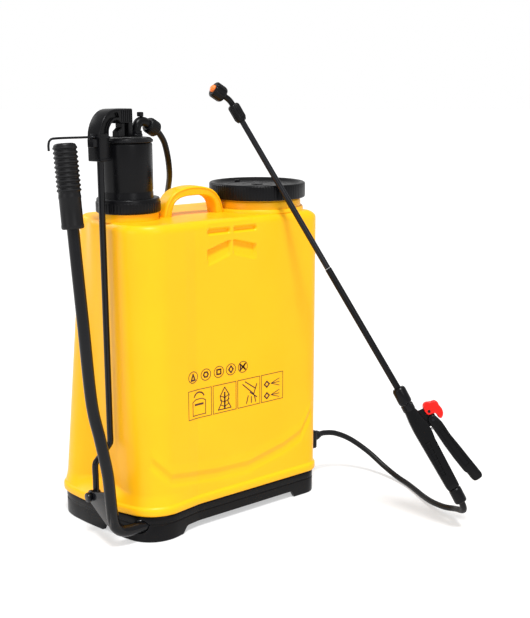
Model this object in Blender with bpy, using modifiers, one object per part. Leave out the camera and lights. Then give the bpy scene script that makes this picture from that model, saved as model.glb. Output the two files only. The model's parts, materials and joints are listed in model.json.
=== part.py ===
"""Knapsack (backpack) sprayer with a side lever, an outside air chamber and a leaning spray lance.

Frame: metres, +Z up, +X to the right along the tank's width, -Y towards the plain front face,
+Y towards the wearer's back. The origin is under the middle of the tank, on the ground.
"""
import math

import bmesh
import bpy
from mathutils import Matrix, Vector

MM = 0.001
GAP = 0.3 * MM                    # clearance between touching solids

# ---- driving dimensions ---------------------------------------------------------------------
TANK_FRONT = -85 * MM             # flat front face
TANK_BACK = 85 * MM
TANK_RIGHT = 168 * MM
RIM_Z = 33 * MM                   # underside of the moulded rim
RIM_TOP = 45 * MM
TANK_TOP = 400 * MM
WALL = 2.8 * MM
COLUMN = Vector((-78 * MM, -43 * MM))     # axis of the rounded front-left corner
COLUMN_R = 46 * MM
GROOVE_X = -121.5 * MM            # floor of the groove that the connecting rod runs in

PUMP = Vector((-84.6 * MM, -10 * MM))     # pump axis
PUMP_NECK_R = 37.2 * MM

FILLER = Vector((108 * MM, -20 * MM))     # filler axis
LID_R = 64.6 * MM
NECK_R = 56 * MM
NECK_BORE = 50 * MM

AXLE_Y, AXLE_Z = -72 * MM, 19 * MM        # lever axle, along X
CRANK_Y, CRANK_Z = -27 * MM, 56 * MM      # crank pin, along X
LEVER_R = 7.3 * MM
ROD_R = 4 * MM
ROD_X = -130.5 * MM               # upper run of the rod
ROD_LOW_X = -153 * MM             # lower run, outside the rim
ROD_TOP = 500 * MM
BRACKET_U = Vector((-0.9377, -0.3473))    # from the pump axis towards the rod

HOSE_R = 3.9 * MM
LANCE_R = 3.8 * MM
GUN_FOOT = Vector((220, -293, 45)) * MM   # lower end of the gun's axis
GUN_AXIS = Vector((-0.2549, 0.4315, 0.8654)).normalized()
LANCE_FOOT = Vector((182, -229, 174)) * MM
LANCE_AXIS = Vector((-0.2866, 0.4541, 0.8436)).normalized()
GUN_SIDE = Vector((0.7617, -0.4616, 0.4546)).normalized()   # the way the trigger faces
NOZZLE_AXIS = Vector((-0.830, 0.170, 0.530)).normalized()

PARTS = bpy.data.collections.new("backpack_sprayer")
CUTTERS = bpy.data.collections.new("cutters")

COLORS = {
    "tank_yellow": ((0.98, 0.68, 0.03), 0.32, 0.0),
    "black_plastic": ((0.022, 0.023, 0.026), 0.38, 0.0),
    "black_rubber": ((0.015, 0.015, 0.016), 0.6, 0.0),
    "red_plastic": ((0.85, 0.03, 0.015), 0.3, 0.0),
    "orange_plastic": ((0.95, 0.22, 0.03), 0.35, 0.0),
    "black_steel": ((0.03, 0.03, 0.033), 0.3, 0.6),
    "bright_steel": ((0.6, 0.6, 0.62), 0.25, 1.0),
    "webbing": ((0.02, 0.02, 0.022), 0.85, 0.0),
    "white_plastic": ((0.8, 0.8, 0.78), 0.4, 0.0),
}


# ---- tools ----------------------------------------------------------------------------------
def material(name):
    """The named Principled material, made once."""
    found = bpy.data.materials.get(name)
    if found:
        return found
    made = bpy.data.materials.new(name)
    made.use_nodes = True
    shader = made.node_tree.nodes["Principled BSDF"]
    color, rough, metal = COLORS[name]
    shader.inputs["Base Color"].default_value = (*color, 1.0)
    shader.inputs["Roughness"].default_value = rough
    shader.inputs["Metallic"].default_value = metal
    return made


def add(name, data, look):
    """Put mesh or curve data into the parts collection as one sub-part."""
    obj = bpy.data.objects.new(name, data)
    (PARTS if look else CUTTERS).objects.link(obj)
    if look:
        data.materials.append(material(look))
    else:
        obj.hide_render = True
        obj.display_type = "WIRE"
    return obj


def from_bmesh(name, bm, look):
    mesh = bpy.data.meshes.new(name)
    bmesh.ops.recalc_face_normals(bm, faces=bm.faces)
    bm.to_mesh(mesh)
    bm.free()
    if look:
        mesh.shade_smooth()
        mesh.set_sharp_from_angle(angle=math.radians(35))
    return add(name, mesh, look)


def aim(obj, at, axis, spin=None):
    """Place obj with its local +Z along axis and, where given, its local +X towards spin."""
    z = Vector(axis).normalized()
    x = Vector(spin) if spin is not None else (Vector((0, 1, 0)) if abs(z.x) > 0.9 else Vector((1, 0, 0)))
    x = (x - z * x.dot(z)).normalized()
    turn = Matrix((x, z.cross(x), z)).transposed().to_4x4()
    obj.matrix_world = Matrix.Translation(Vector(at)) @ turn
    return obj


def box(name, low, high, look, bevel=0.0):
    """A box between two corners, with rounded edges where bevel is given."""
    bm = bmesh.new()
    bmesh.ops.create_cube(bm, size=1.0)
    low, high = Vector(low), Vector(high)
    for vert in bm.verts:
        vert.co = Vector([low[i] + (vert.co[i] + 0.5) * (high[i] - low[i]) for i in range(3)])
    obj = from_bmesh(name, bm, look)
    if bevel:
        rounded(obj, bevel)
    return obj


def rounded(obj, width, segments=2, angle=30):
    edge = obj.modifiers.new("rounded", "BEVEL")
    edge.width = width
    edge.segments = segments
    edge.limit_method = "ANGLE"
    edge.angle_limit = math.radians(angle)
    return obj


def drum(name, radius, z0, z1, look, sides=32, at=(0, 0, 0), axis=(0, 0, 1), bevel=0.0):
    """A cylinder from z0 to z1 along an axis through a point."""
    bm = bmesh.new()
    bmesh.ops.create_cone(bm, cap_ends=True, segments=sides, radius1=radius, radius2=radius, depth=z1 - z0)
    bmesh.ops.translate(bm, verts=bm.verts, vec=(0, 0, (z0 + z1) / 2))
    obj = aim(from_bmesh(name, bm, look), at, axis)
    if bevel:
        rounded(obj, bevel)
    return obj


def turned(name, profile, look, steps=32, at=(0, 0, 0), axis=(0, 0, 1), ring=False):
    """Turn a profile of (radius, height) points, in mm, given from the top down the outer side."""
    mesh = bpy.data.meshes.new(name)
    verts = [(r * MM, 0, z * MM) for r, z in profile]
    edges = [(i, i + 1) for i in range(len(verts) - 1)]
    if ring:
        edges.append((len(verts) - 1, 0))
    mesh.from_pydata(verts, edges, [])
    obj = aim(add(name, mesh, look), at, axis)
    screw = obj.modifiers.new("turned", "SCREW")
    screw.steps = steps
    screw.render_steps = steps
    screw.use_merge_vertices = True
    screw.merge_threshold = 0.00001
    return obj


def prism(name, outline, low, high, look, at=(0, 0, 0), axis=(0, 0, 1), spin=None, bevel=0.0):
    """A flat outline of (x, y) points, in mm, extruded from low to high along the axis."""
    bm = bmesh.new()
    verts = [bm.verts.new((x * MM, y * MM, low)) for x, y in outline]
    face = bm.faces.new(verts)
    grown = bmesh.ops.extrude_face_region(bm, geom=[face])
    top = [item for item in grown["geom"] if isinstance(item, bmesh.types.BMVert)]
    bmesh.ops.translate(bm, verts=top, vec=(0, 0, high - low))
    obj = aim(from_bmesh(name, bm, look), at, axis, spin)
    if bevel:
        rounded(obj, bevel)
    return obj


def smooth_route(points, spacing):
    """Points at an even spacing along a Catmull-Rom curve through the given points."""
    pts = [Vector(p) for p in points]
    pts = [pts[0] * 2 - pts[1], *pts, pts[-1] * 2 - pts[-2]]
    dense = []
    for i in range(1, len(pts) - 2):
        for k in range(24):
            t = k / 24
            a, b, c, d = pts[i - 1:i + 3]
            dense.append(0.5 * ((2 * b) + (c - a) * t + (2 * a - 5 * b + 4 * c - d) * t * t
                                + (3 * b - a - 3 * c + d) * t ** 3))
    dense.append(pts[-2])
    length = sum((dense[i + 1] - dense[i]).length for i in range(len(dense) - 1))
    count = max(2, round(length / spacing))
    out, walked, want = [dense[0]], 0.0, length / count
    for i in range(len(dense) - 1):
        step = (dense[i + 1] - dense[i]).length
        while walked + step >= want and len(out) < count:
            out.append(dense[i].lerp(dense[i + 1], (want - walked) / step))
            want += length / count
        walked += step
    return out + [dense[-1]]


def tube(name, points, radius, look, resolution=3):
    """A round bar along a list of points, as a curve with filled caps."""
    curve = bpy.data.curves.new(name, "CURVE")
    curve.dimensions = "3D"
    curve.bevel_depth = radius
    curve.bevel_resolution = resolution
    curve.use_fill_caps = True
    spline = curve.splines.new("POLY")
    spline.points.add(len(points) - 1)
    for point, place in zip(spline.points, points):
        point.co = (*place, 1.0)
    return add(name, curve, look)


def to_mesh(curve_obj):
    """Turn a curve into a closed mesh object of the same name, for Booleans."""
    name = curve_obj.name
    depsgraph = bpy.context.evaluated_depsgraph_get()
    mesh = bpy.data.meshes.new_from_object(curve_obj.evaluated_get(depsgraph))
    bm = bmesh.new()
    bm.from_mesh(mesh)
    bmesh.ops.remove_doubles(bm, verts=bm.verts, dist=0.00001)
    bmesh.ops.recalc_face_normals(bm, faces=bm.faces)
    bm.to_mesh(mesh)
    bm.free()
    obj = bpy.data.objects.new(name + "_solid", mesh)
    obj.matrix_world = curve_obj.matrix_world.copy()
    for group in curve_obj.users_collection:
        group.objects.link(obj)
    obj.hide_render = curve_obj.hide_render
    obj.display_type = curve_obj.display_type
    bpy.data.objects.remove(curve_obj)
    obj.name = name
    return obj


def boolean(target, tool, operation):
    step = target.modifiers.new(operation.lower(), "BOOLEAN")
    step.operation = operation
    step.object = tool
    step.solver = "EXACT"
    return target


def cut(target, tool):
    return boolean(target, tool, "DIFFERENCE")


def join(target, tool):
    return boolean(target, tool, "UNION")


def arc(cx, cy, radius, start, end, count):
    """Points on an arc, angles in degrees."""
    return [(cx + radius * math.cos(math.radians(start + (end - start) * i / count)),
             cy + radius * math.sin(math.radians(start + (end - start) * i / count)))
            for i in range(count + 1)]


def inset(points, amount):
    """Move a counter-clockwise outline inwards along its normals; amount may depend on the normal."""
    out = []
    for i, point in enumerate(points):
        before, after = Vector(points[i - 1]), Vector(points[(i + 1) % len(points)])
        along = (after - before).normalized()
        normal = Vector((along.y, -along.x))
        move = amount(normal) if callable(amount) else amount
        out.append(tuple(Vector(point) - normal * move))
    return out


def loft(name, sections, look):
    """Skin a stack of outlines, each (height, points), with flat ends."""
    bm = bmesh.new()
    rings = [[bm.verts.new((x, y, z)) for x, y in points] for z, points in sections]
    for low, high in zip(rings, rings[1:]):
        for i in range(len(low)):
            j = (i + 1) % len(low)
            bm.faces.new((low[i], low[j], high[j], high[i]))
    bm.faces.new(list(reversed(rings[0])))
    bm.faces.new(rings[-1])
    return from_bmesh(name, bm, look)


# ---- tank -----------------------------------------------------------------------------------
def left_back_x(z):
    """The back-left edge leans inwards towards the top."""
    return -(114 * MM + (391 * MM - z) * 0.1)


def tank_outline(z, flare):
    """Plan of the tank at a height. flare 1 is the rim, 0 the grooved body above it."""
    far = left_back_x(max(z, 60 * MM)) * (1 - flare) - 151 * MM * flare
    side = [(-147, 17), (-143, -2), (-139, -20), (-133, -36)]
    groove = [(GROOVE_X / MM - 1.5, 20), (GROOVE_X / MM, 2), (GROOVE_X / MM, -22), (-122.6, -35)]
    mix = [((a[0] * flare + b[0] * (1 - flare)) * MM, (a[1] * flare + b[1] * (1 - flare)) * MM)
           for a, b in zip(side, groove)]
    front_right = arc(147 * MM, TANK_FRONT + 21 * MM, 21 * MM, -90, -4, 5)
    back_right = arc(TANK_RIGHT - 30 * MM, TANK_BACK - 30 * MM, 30 * MM, 0, 90, 5)
    back_left = arc(far + 28 * MM, TANK_BACK - 28 * MM, 28 * MM, 90, 180, 5)
    column = arc(COLUMN.x, COLUMN.y, COLUMN_R + 2 * MM * flare, 196, 276, 7)
    return [(-36 * MM, TANK_FRONT), (25 * MM, TANK_FRONT), (90 * MM, TANK_FRONT), *front_right,
            (TANK_RIGHT, -20 * MM), (TANK_RIGHT, 20 * MM), *back_right,
            (65 * MM, TANK_BACK - 2 * MM), (0, TANK_BACK - 3 * MM), (-60 * MM, TANK_BACK - 2 * MM),
            *back_left, (far, 45 * MM), *mix, *column, (-52 * MM, TANK_FRONT - 2.5 * MM)]


def shoulder(amount):
    """Inset for the top edge: crisp at the front, well rounded at the right end."""
    return lambda normal: amount * (1 + 2.2 * max(0.0, normal.x))


def filler_neck(radius, low, high, name):
    return drum(name, radius, low, high, None, sides=36, at=(FILLER.x, FILLER.y, 0))


def tank_shell():
    levels = [(RIM_Z, 1, -1.5), (RIM_Z + 3 * MM, 1, -2.5), (RIM_TOP - 3 * MM, 1, -2.5), (RIM_TOP, 1, 0),
              (60 * MM, 0, 0), (110 * MM, 0, 0), (230 * MM, 0, 0), (340 * MM, 0, 0), (389 * MM, 0, 0)]
    sections = [(z, inset(tank_outline(z, flare), grow * MM)) for z, flare, grow in levels]
    top = tank_outline(391 * MM, 0)
    sections += [(395 * MM, inset(top, shoulder(1.5 * MM))), (398.5 * MM, inset(top, shoulder(4 * MM))),
                 (TANK_TOP, inset(top, shoulder(7 * MM)))]
    tank = loft("tank_shell", sections, "tank_yellow")
    inner = [(z, inset(tank_outline(z, flare), WALL)) for z, flare in
             [(RIM_Z + WALL, 1), (RIM_TOP - WALL, 1), (60 * MM, 0), (110 * MM, 0), (230 * MM, 0),
              (340 * MM, 0), (387 * MM, 0)]]
    inner.append((TANK_TOP - 3.5 * MM, inset(top, lambda normal: shoulder(4 * MM)(normal) + WALL)))
    join(tank, filler_neck(58 * MM, 388 * MM, 414 * MM, "filler_collar"))
    join(tank, filler_neck(NECK_R, 400 * MM, 427 * MM, "filler_throat"))
    join(tank, drum("pump_neck", PUMP_NECK_R, 388 * MM, 421 * MM, None, 36, (*PUMP, 0)))
    join(tank, carry_handle())
    cut(tank, loft("tank_inside", inner, None))
    cut(tank, filler_neck(NECK_BORE, 380 * MM, 430 * MM, "filler_bore"))
    cut(tank, drum("pump_bore", 34.6 * MM, 380 * MM, 430 * MM, None, 36, (*PUMP, 0)))
    return tank


def carry_handle():
    """Moulded arch between the two necks, 24 mm deep."""
    outer = [(44, 398), (42, 409), (36.5, 421), (27, 430.5), (14, 435), (0, 436.3)]
    inner = [(0, 424.5), (12, 423.5), (21.5, 419.5), (28, 412), (31, 398)]
    middle = 1.0
    outline = [(middle + x, z) for x, z in outer] + [(middle - x, z) for x, z in reversed(outer[:-1])]
    outline += [(middle - x, z) for x, z in reversed(inner)] + [(middle + x, z) for x, z in inner[1:]]
    return prism("handle_arch", outline, -12 * MM, 12 * MM, None, at=(0, -18 * MM, 0), axis=(0, -1, 0),
                 spin=(1, 0, 0))


def base_outline(z):
    """Plan of the base: it follows the rim and swells round the lever's bearing at its foot."""
    swell = 6 * MM * (1 - z / (32 * MM))
    points = inset(tank_outline(RIM_Z, 1), 1.0 * MM)
    out = []
    for x, y in points:
        reach = Vector((x, y)) - COLUMN
        near = max(0.0, -reach.normalized().dot(Vector((0.75, 0.66)))) ** 2 if reach.length < 60 * MM else 0.0
        moved = Vector((x, y)) + reach.normalized() * swell * near
        out.append(tuple(moved))
    return out


def base_tray():
    heights = [0, 20 * MM, 22.5 * MM, RIM_Z - GAP - 0.5 * MM]
    grow = [0, 0, -0.8 * MM, -0.8 * MM]
    sections = [(z, inset(base_outline(z), g)) for z, g in zip(heights, grow)]
    tray = loft("base_tray", sections, "black_plastic")
    hollow = inset(base_outline(32 * MM), 5.5 * MM)
    cut(tray, loft("tray_hollow", [(-2 * MM, hollow), (29.6 * MM, hollow)], None))
    cut(tray, box("front_arch", (-62 * MM, -0.12, -2 * MM), (124 * MM, 0.12, 9 * MM), None))
    cut(tray, box("side_arch", (-0.2, -48 * MM, -2 * MM), (0.2, -14 * MM, 9 * MM), None))
    cut(tray, drum("axle_hole", 8.6 * MM, -175 * MM, -88 * MM, None, 24, (0, AXLE_Y, AXLE_Z), (1, 0, 0)))
    join(tray, drum("centre_foot", 14 * MM, 0, 30.5 * MM, None, 24))
    return tray


# ---- pump -----------------------------------------------------------------------------------
def pump_set():
    at = (*PUMP, 0)
    turned("pump_barrel", [(36.6, 423.2), (36.6, 421.3), (33.4, 421.3), (33.4, 92), (30, 88), (7, 88),
                           (7, 92), (28, 92), (32.1, 96), (32.1, 423.2)], "white_plastic", 24, at, ring=True)
    turned("barrel_gasket", [(36.6, 425.2), (36.6, 423.5), (32.3, 423.5), (32.3, 425.2)],
           "black_rubber", 24, at, ring=True)
    turned("ring_nut", [(38, 427), (40, 424), (40, 409.3), (37.6, 409.3), (37.6, 425.5), (32.3, 425.5),
                        (32.3, 427)], "black_plastic", 36, at, ring=True)
    turned("inlet_valve_seat", [(9.5, 95.6), (9.5, 92.3), (6.6, 92.3), (6.6, 84), (3.2, 84), (3.2, 95.6)],
           "white_plastic", 20, at, ring=True)
    turned("inlet_valve_ball", ball(100.6, 4.6), "bright_steel", 12, at)
    turned("suction_strainer", [(9.5, 82), (9.5, 60), (2, 60), (2, 61.5), (8, 61.5), (8, 80.5), (4.5, 80.5),
                                (4.5, 83.6), (6.4, 83.6), (6.4, 82)], "white_plastic", 16, at, ring=True)


def ball(z, radius, count=6):
    """Half circle from the top to the bottom, in mm."""
    return [(radius * math.sin(math.pi * i / count) if 0 < i < count else 0,
             z + radius * math.cos(math.pi * i / count)) for i in range(count + 1)]


def air_chamber():
    at = (*PUMP, 0)
    turned("air_chamber", [(29.5, 494), (31.5, 492), (31.5, 190), (6, 190), (6, 193), (28.7, 193),
                           (28.7, 491), (5, 491), (5, 494)], "black_plastic", 24, at, ring=True)
    turned("chamber_cap", [(29, 500), (31, 499), (31.6, 497.6), (32.4, 497.6), (32.4, 495.8), (31.6, 495.8),
                           (31.6, 494.3), (5, 494.3), (5, 500)], "black_plastic", 24, at, ring=True)
    turned("piston_body", [(29, 189.7), (29, 184), (26, 184), (26, 176), (29, 176), (29, 172), (5.5, 172),
                           (5.5, 189.7)], "white_plastic", 24, at, ring=True)
    turned("piston_cup", [(31.8, 183.6), (31.8, 176.4), (26.4, 176.4), (26.4, 183.6)], "black_rubber", 24, at,
           ring=True)
    turned("outlet_valve_ball", ball(199.6, 6.2), "bright_steel", 12, at)


def bracket_frame(obj):
    """Place a piece drawn in the bracket's own plane: local X from the pump axis to the rod, Y up."""
    side = Vector((*BRACKET_U, 0)).cross(Vector((0, 0, 1)))
    return aim(obj, (*PUMP, 0), side, (*BRACKET_U, 0))


def goose_neck():
    """Inverted U from the chamber's cap, over to the guide that the rod's top end slides in."""
    outline = [(40, 474), (57, 474), (57, 503), (55, 513), (50, 522), (43, 529), (34, 533.5), (24, 534.5),
               (-4, 534.5), (-4, 500.4), (3.5, 500.4), (3.5, 517), (18, 517), (22, 521), (30, 520.5),
               (36, 516), (39.5, 510), (40, 503)]
    neck = prism("goose_neck", outline, -8 * MM, 12 * MM, "black_plastic")
    bracket_frame(neck)
    pocket = [(42.5, 506), (54.3, 506), (52, 513), (47.5, 519.5), (41.5, 525.5), (33.5, 530), (24, 531),
              (3, 531), (3, 520.5), (17, 520.5), (21, 524.5), (31, 524), (38, 519), (42, 511.5)]
    for low, high, name in ((-10, -5, "web_pocket_a"), (7.5, 14, "web_pocket_b")):
        cut(neck, bracket_frame(prism(name, pocket, low * MM, high * MM, None)))
    stay = [(8, 500.4), (20, 500.4), (20, 508), (14, 512), (14, 519), (8, 519)]
    boss = [(56, 491), (65, 491), (65, 501), (56, 501)]
    for name, outline in (("neck_stay", stay), ("hook_boss", boss)):
        join(neck, bracket_frame(prism(name, outline, -5 * MM, 5 * MM, None)))
    bore = [(42.3, 470), (53.6, 470), (53.6, 502.5), (42.3, 502.5)]
    cut(neck, bracket_frame(prism("rod_channel", bore, -4.9 * MM, 14 * MM, None)))
    return neck


def turn_origin(obj, place):
    """Move an object's origin to a point without moving its shape."""
    shift = obj.matrix_world.inverted() @ Vector(place)
    obj.data.transform(Matrix.Translation(-shift))
    obj.matrix_world = obj.matrix_world @ Matrix.Translation(shift)
    return obj


def wire_hook():
    """The wire hook that swings over the lever's top, and its pivot on the goose neck's boss."""
    pivot = Vector((*PUMP, 0)) + Vector((*BRACKET_U, 0)) * (61.5 * MM)
    drum("hook_pivot", 1.6 * MM, 501.4 * MM, 507 * MM, "black_steel", 12, pivot)
    reach = -198 * MM
    route = [(pivot.x - 2.6 * MM, pivot.y, 503 * MM), (pivot.x - 12 * MM, pivot.y, 503 * MM),
             (reach + 9 * MM, pivot.y, 503 * MM), (reach + 2 * MM, pivot.y, 501 * MM),
             (reach, pivot.y, 496 * MM), (reach, pivot.y, 489 * MM)]
    wire = to_mesh(tube("wire_hook", smooth_route(route, 5 * MM), 1.4 * MM, "black_steel", 2))
    join(wire, turned("wire_eye", [(4.2, 504.4), (4.2, 501.6), (2.0, 501.6), (2.0, 504.4)], None, 16, pivot,
                      ring=True))
    turn_origin(wire, pivot)


def outlet():
    """Elbow on the cap with its bleed screw, and the nut that clamps the hose."""
    foot = Vector((PUMP.x + 14 * MM, PUMP.y, 0))
    rise = [(0, 0, 500.4), (0, 0, 508), (1.5, 0, 514), (6, 1, 518), (12, 1.5, 518), (17, 2.5, 515.5)]
    route = [foot + Vector(step) * MM for step in rise]
    elbow = to_mesh(tube("outlet_elbow", smooth_route(route, 3.5 * MM), 6 * MM, "black_plastic", 2))
    join(elbow, drum("elbow_collar", 8 * MM, 500.4 * MM, 504 * MM, None, 16, foot))
    drum("bleed_screw", 4 * MM, 524.4 * MM, 530 * MM, "black_plastic", 16,
         (foot.x + 7 * MM, foot.y + 1 * MM, 0), bevel=0.7 * MM)
    turned("hose_nut", [(5, 17), (8.5, 17), (10, 15), (10, 2), (8.5, 0), (5, 0)], "black_plastic", 20,
           HOSE_NUT_FOOT, HOSE_NUT_AXIS, ring=True)


# ---- filler ---------------------------------------------------------------------------------
def filler_set():
    at = (*FILLER, 0)
    turned("lid", [(57, 432.5), (60, 436), (62.6, 436), (LID_R / MM, 434), (LID_R / MM, 416), (58.5, 416),
                   (58.5, 431), (6, 431), (6, 432.5)], "black_plastic", 36, at, ring=True)
    turned("lid_gasket", [(56, 430.6), (56, 427.4), (50.5, 427.4), (50.5, 430.6)], "black_rubber", 24, at,
           ring=True)
    turned("lid_vent", [(0, 434), (8, 434), (8, 432.8), (5.6, 432.8), (5.6, 427), (0, 427)],
           "black_plastic", 16, at)
    turned("filler_strainer", [(49.4, 427), (49.4, 400), (44, 352), (2, 352), (2, 353.6), (42.6, 353.6),
                               (47.8, 400), (47.8, 427)], "white_plastic", 24, at, ring=True)


# ---- lever and connecting rod ---------------------------------------------------------------
def lever():
    """Bent tube: axle through the base's corner, then up the tank's left side to the grip."""
    low = [(-60 * MM, AXLE_Y, AXLE_Z), (-90 * MM, AXLE_Y, AXLE_Z), (-122 * MM, AXLE_Y, AXLE_Z)]
    bend_r = 22 * MM
    bend = [(-133 * MM - bend_r * math.sin(t), AXLE_Y, AXLE_Z + bend_r * (1 - math.cos(t)))
            for t in (0, math.pi / 6, math.pi / 3, math.pi / 2)]
    rise = [(-157, -72.6, 60), (-160, -73, 97), (-163, -70.5, 122), (-166, -67, 146), (-171.5, -60, 191),
            (-175, -54, 282), (-177, -42.6, 392), (-177, -30.5, 486)]
    rise = [Vector(place) * MM for place in rise]
    bar = to_mesh(tube("lever_tube", smooth_route(low + bend + rise, 15 * MM), LEVER_R, "black_steel", 2))
    plate = [(-79, 32), (-65, 32), *arc(CRANK_Y / MM, CRANK_Z / MM, 8.5, -60, 120, 5), (-64, 74), (-78, 74)]
    join(bar, prism("crank_plate", plate, -161 * MM, -157.5 * MM, None, axis=(1, 0, 0), spin=(0, 1, 0)))
    cut(bar, drum("pin_hole", 4.3 * MM, -170 * MM, -150 * MM, None, 16, (0, CRANK_Y, CRANK_Z), (1, 0, 0)))
    turn_origin(bar, (-133 * MM, AXLE_Y, AXLE_Z))
    bore = LEVER_R / MM + 0.6
    profile = [(12, 11), (13.6, 9)]
    for ring in range(10):
        z = 7 - ring * 5.4
        profile += [(14.4, z), (13.0, z - 4)]
    profile += [(13.2, -48), (13.2, -86), (11.5, -88), (bore, -88), (bore, 4), (2, 4), (2, 11)]
    turned("lever_grip", profile, "black_rubber", 16, rise[-1], rise[-1] - rise[-2], ring=True)


def crank_pin():
    turned("crank_pin", [(0, 21.2), (4, 21.2), (4, 5.8), (6.2, 5.8), (6.2, 2.2), (5, 0.8), (0, 0.8)],
           "bright_steel", 16, (-168 * MM, CRANK_Y, CRANK_Z), (1, 0, 0))
    turned("pin_clip", [(6.4, 20.8), (6.4, 19.4), (4.3, 19.4), (4.3, 20.8)], "bright_steel", 16,
           (-168 * MM, CRANK_Y, CRANK_Z), (1, 0, 0), ring=True)


def connecting_rod():
    """Straight steel rod with a joggle that carries its lower eye outside the rim."""
    y = CRANK_Y
    joggle = [(ROD_LOW_X, y, CRANK_Z + 5 * MM), (ROD_LOW_X, y, 80 * MM), (ROD_LOW_X, y, 96 * MM),
              (ROD_LOW_X + 3 * MM, y, 102 * MM), (ROD_X - 3 * MM, y, 118 * MM), (ROD_X, y, 124 * MM),
              (ROD_X, y, 140 * MM)]
    points = smooth_route(joggle, 6 * MM) + [Vector((ROD_X, y, 300 * MM)), Vector((ROD_X, y, ROD_TOP))]
    rod = to_mesh(tube("connecting_rod", points, ROD_R, "black_steel", 2))
    join(rod, turned("rod_eye", [(7.4, 4), (7.4, -4), (4.3, -4), (4.3, 4)], None, 20,
                     (ROD_LOW_X, CRANK_Y, CRANK_Z), (1, 0, 0), ring=True))
    turn_origin(rod, (ROD_LOW_X, CRANK_Y, CRANK_Z))


def axle_bearing():
    """Bearing block under the tank, and the collar that keeps the axle in it."""
    block = box("axle_block", (-84 * MM, -81 * MM, 4 * MM), (-72 * MM, -56 * MM, 29.2 * MM), "black_plastic")
    cut(block, drum("block_bore", LEVER_R + 0.5 * MM, -95 * MM, -60 * MM, None, 24, (0, AXLE_Y, AXLE_Z),
                    (1, 0, 0)))
    turned("axle_collar", [(9.2, 4), (9.2, -3), (LEVER_R / MM + 0.5, -3), (LEVER_R / MM + 0.5, 4)],
           "bright_steel", 20, (-67 * MM, AXLE_Y, AXLE_Z), (1, 0, 0), ring=True)


# ---- harness --------------------------------------------------------------------------------
def ribbon(name, spine, width, thick):
    """A flat band along a spine, with its width along X."""
    bm = bmesh.new()
    rings = []
    for i, place in enumerate(spine):
        tangent = (spine[min(len(spine) - 1, i + 1)] - spine[max(0, i - 1)]).normalized()
        across = Vector((1, 0, 0))
        across = (across - tangent * across.dot(tangent)).normalized()
        out = tangent.cross(across) * (thick / 2)
        half = across * (width / 2)
        rings.append([bm.verts.new(place + a) for a in (half + out, half - out, -half - out, -half + out)])
    for low, high in zip(rings, rings[1:]):
        for k in range(4):
            bm.faces.new((low[k], low[(k + 1) % 4], high[(k + 1) % 4], high[k]))
    bm.faces.new(list(reversed(rings[0])))
    bm.faces.new(rings[-1])
    return from_bmesh(name, bm, "webbing")


def harness():
    """Two shoulder straps in loose loops behind the tank, each with a pad, an anchor and a lower hook."""
    for side, sign in (("left", -1), ("right", 1)):
        top, low = sign * 56, sign * 88
        run = [(top, 90, 385), (top, 99, 390), (top, 111, 388), (top, 122, 372), (top * 1.03, 129, 340),
               (top * 1.08, 132, 290), (top * 1.16, 128, 230), (top * 1.32, 118, 160), (low * 0.96, 106, 100),
               (low, 101, 68), (low, 96, 40), (low, 94.6, 14)]
        spine = smooth_route([Vector(place) * MM for place in run], 16 * MM)
        ribbon("strap_" + side, spine, 34 * MM, 2 * MM)
        pad = [place - Vector((0, 6.6 * MM, 0)) for place in spine[7:19]]
        ribbon("strap_pad_" + side, pad, 52 * MM, 9 * MM)
        box("strap_anchor_" + side, ((top - 22) * MM, TANK_BACK + 0.4 * MM, 372 * MM),
            ((top + 22) * MM, TANK_BACK + 3.4 * MM, 388 * MM), "black_plastic")
        box("strap_hook_" + side, ((low - 21) * MM, TANK_BACK + 0.4 * MM, 8 * MM),
            ((low + 21) * MM, TANK_BACK + 7.4 * MM, 31 * MM), "black_plastic", bevel=1.5 * MM)


# ---- hose -----------------------------------------------------------------------------------
HOSE_NUT_AXIS = Vector((0.86, 0.17, -0.48)).normalized()
HOSE_NUT_FOOT = Vector((-52.7, -7.2, 515.1)) * MM
HOSE_UPPER = [(-41, -4.9, 508.5), (-34, -3.2, 503.5), (-24, 1, 492), (-16, 7, 477), (-8, 16, 461),
              (2, 31, 445), (12, 50, 430), (22, 70, 416), (29, 86, 404), (32, 96, 391), (32.5, 99.3, 381),
              (32.5, 99.3, 372.6)]
HOSE_BACK = [(32.5, 99.3, 371.2), (32.5, 99.3, 362), (32.5, 99, 345), (33, 95.5, 318),
             (35, 91, 285), (38, 90, 240), (42, 90, 180), (50, 90, 130), (64, 90, 95), (90, 91, 74),
             (122, 91.6, 66), (150, 90, 65), (170, 78, 65), (177.5, 55, 65), (178.6, 25, 65),
             (178.6, 0, 65), (178.6, -19.4, 65)]
HOSE_FREE = [(202.8, -45, 64), (212, -45, 64), (230, -49, 60.5), (250, -60, 50), (267, -80, 33),
             (276, -105, 16), (278, -130, 7), (275, -155, 4.6), (268, -178, 4.4), (260, -200, 5),
             (252, -222, 7.2), (246.5, -243, 10.2), (244, -257, 12.9)]


def hose():
    """The hose in three lengths: pump to clip, clip to the side guide, and the free run to the gun."""
    free = HOSE_FREE + [tuple((tail_end() + TAIL_AXIS * reach) / MM) for reach in (16 * MM, 0.4 * MM)]
    for name, route in (("hose_upper", HOSE_UPPER), ("hose_back", HOSE_BACK), ("hose_free", free)):
        tube(name, smooth_route([Vector(place) * MM for place in route], 17 * MM), HOSE_R, "black_rubber", 2)
    turned("hose_clip", [(7.4, 5), (7.4, -5), (5, -5), (5, 5)], "black_plastic", 16,
           Vector((32.5, 99.3, 358)) * MM, ring=True)
    box("hose_guide", (TANK_RIGHT + 0.6 * MM, -62 * MM, 52 * MM), (184 * MM, -19.8 * MM, 78 * MM),
        "black_plastic", bevel=2 * MM)
    turned("hose_cone", [(0, 18), (5.2, 18), (8.8, 0), (0, 0)], "black_rubber", 16,
           Vector((184.3, -45, 64)) * MM, (1, 0, 0))


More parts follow.
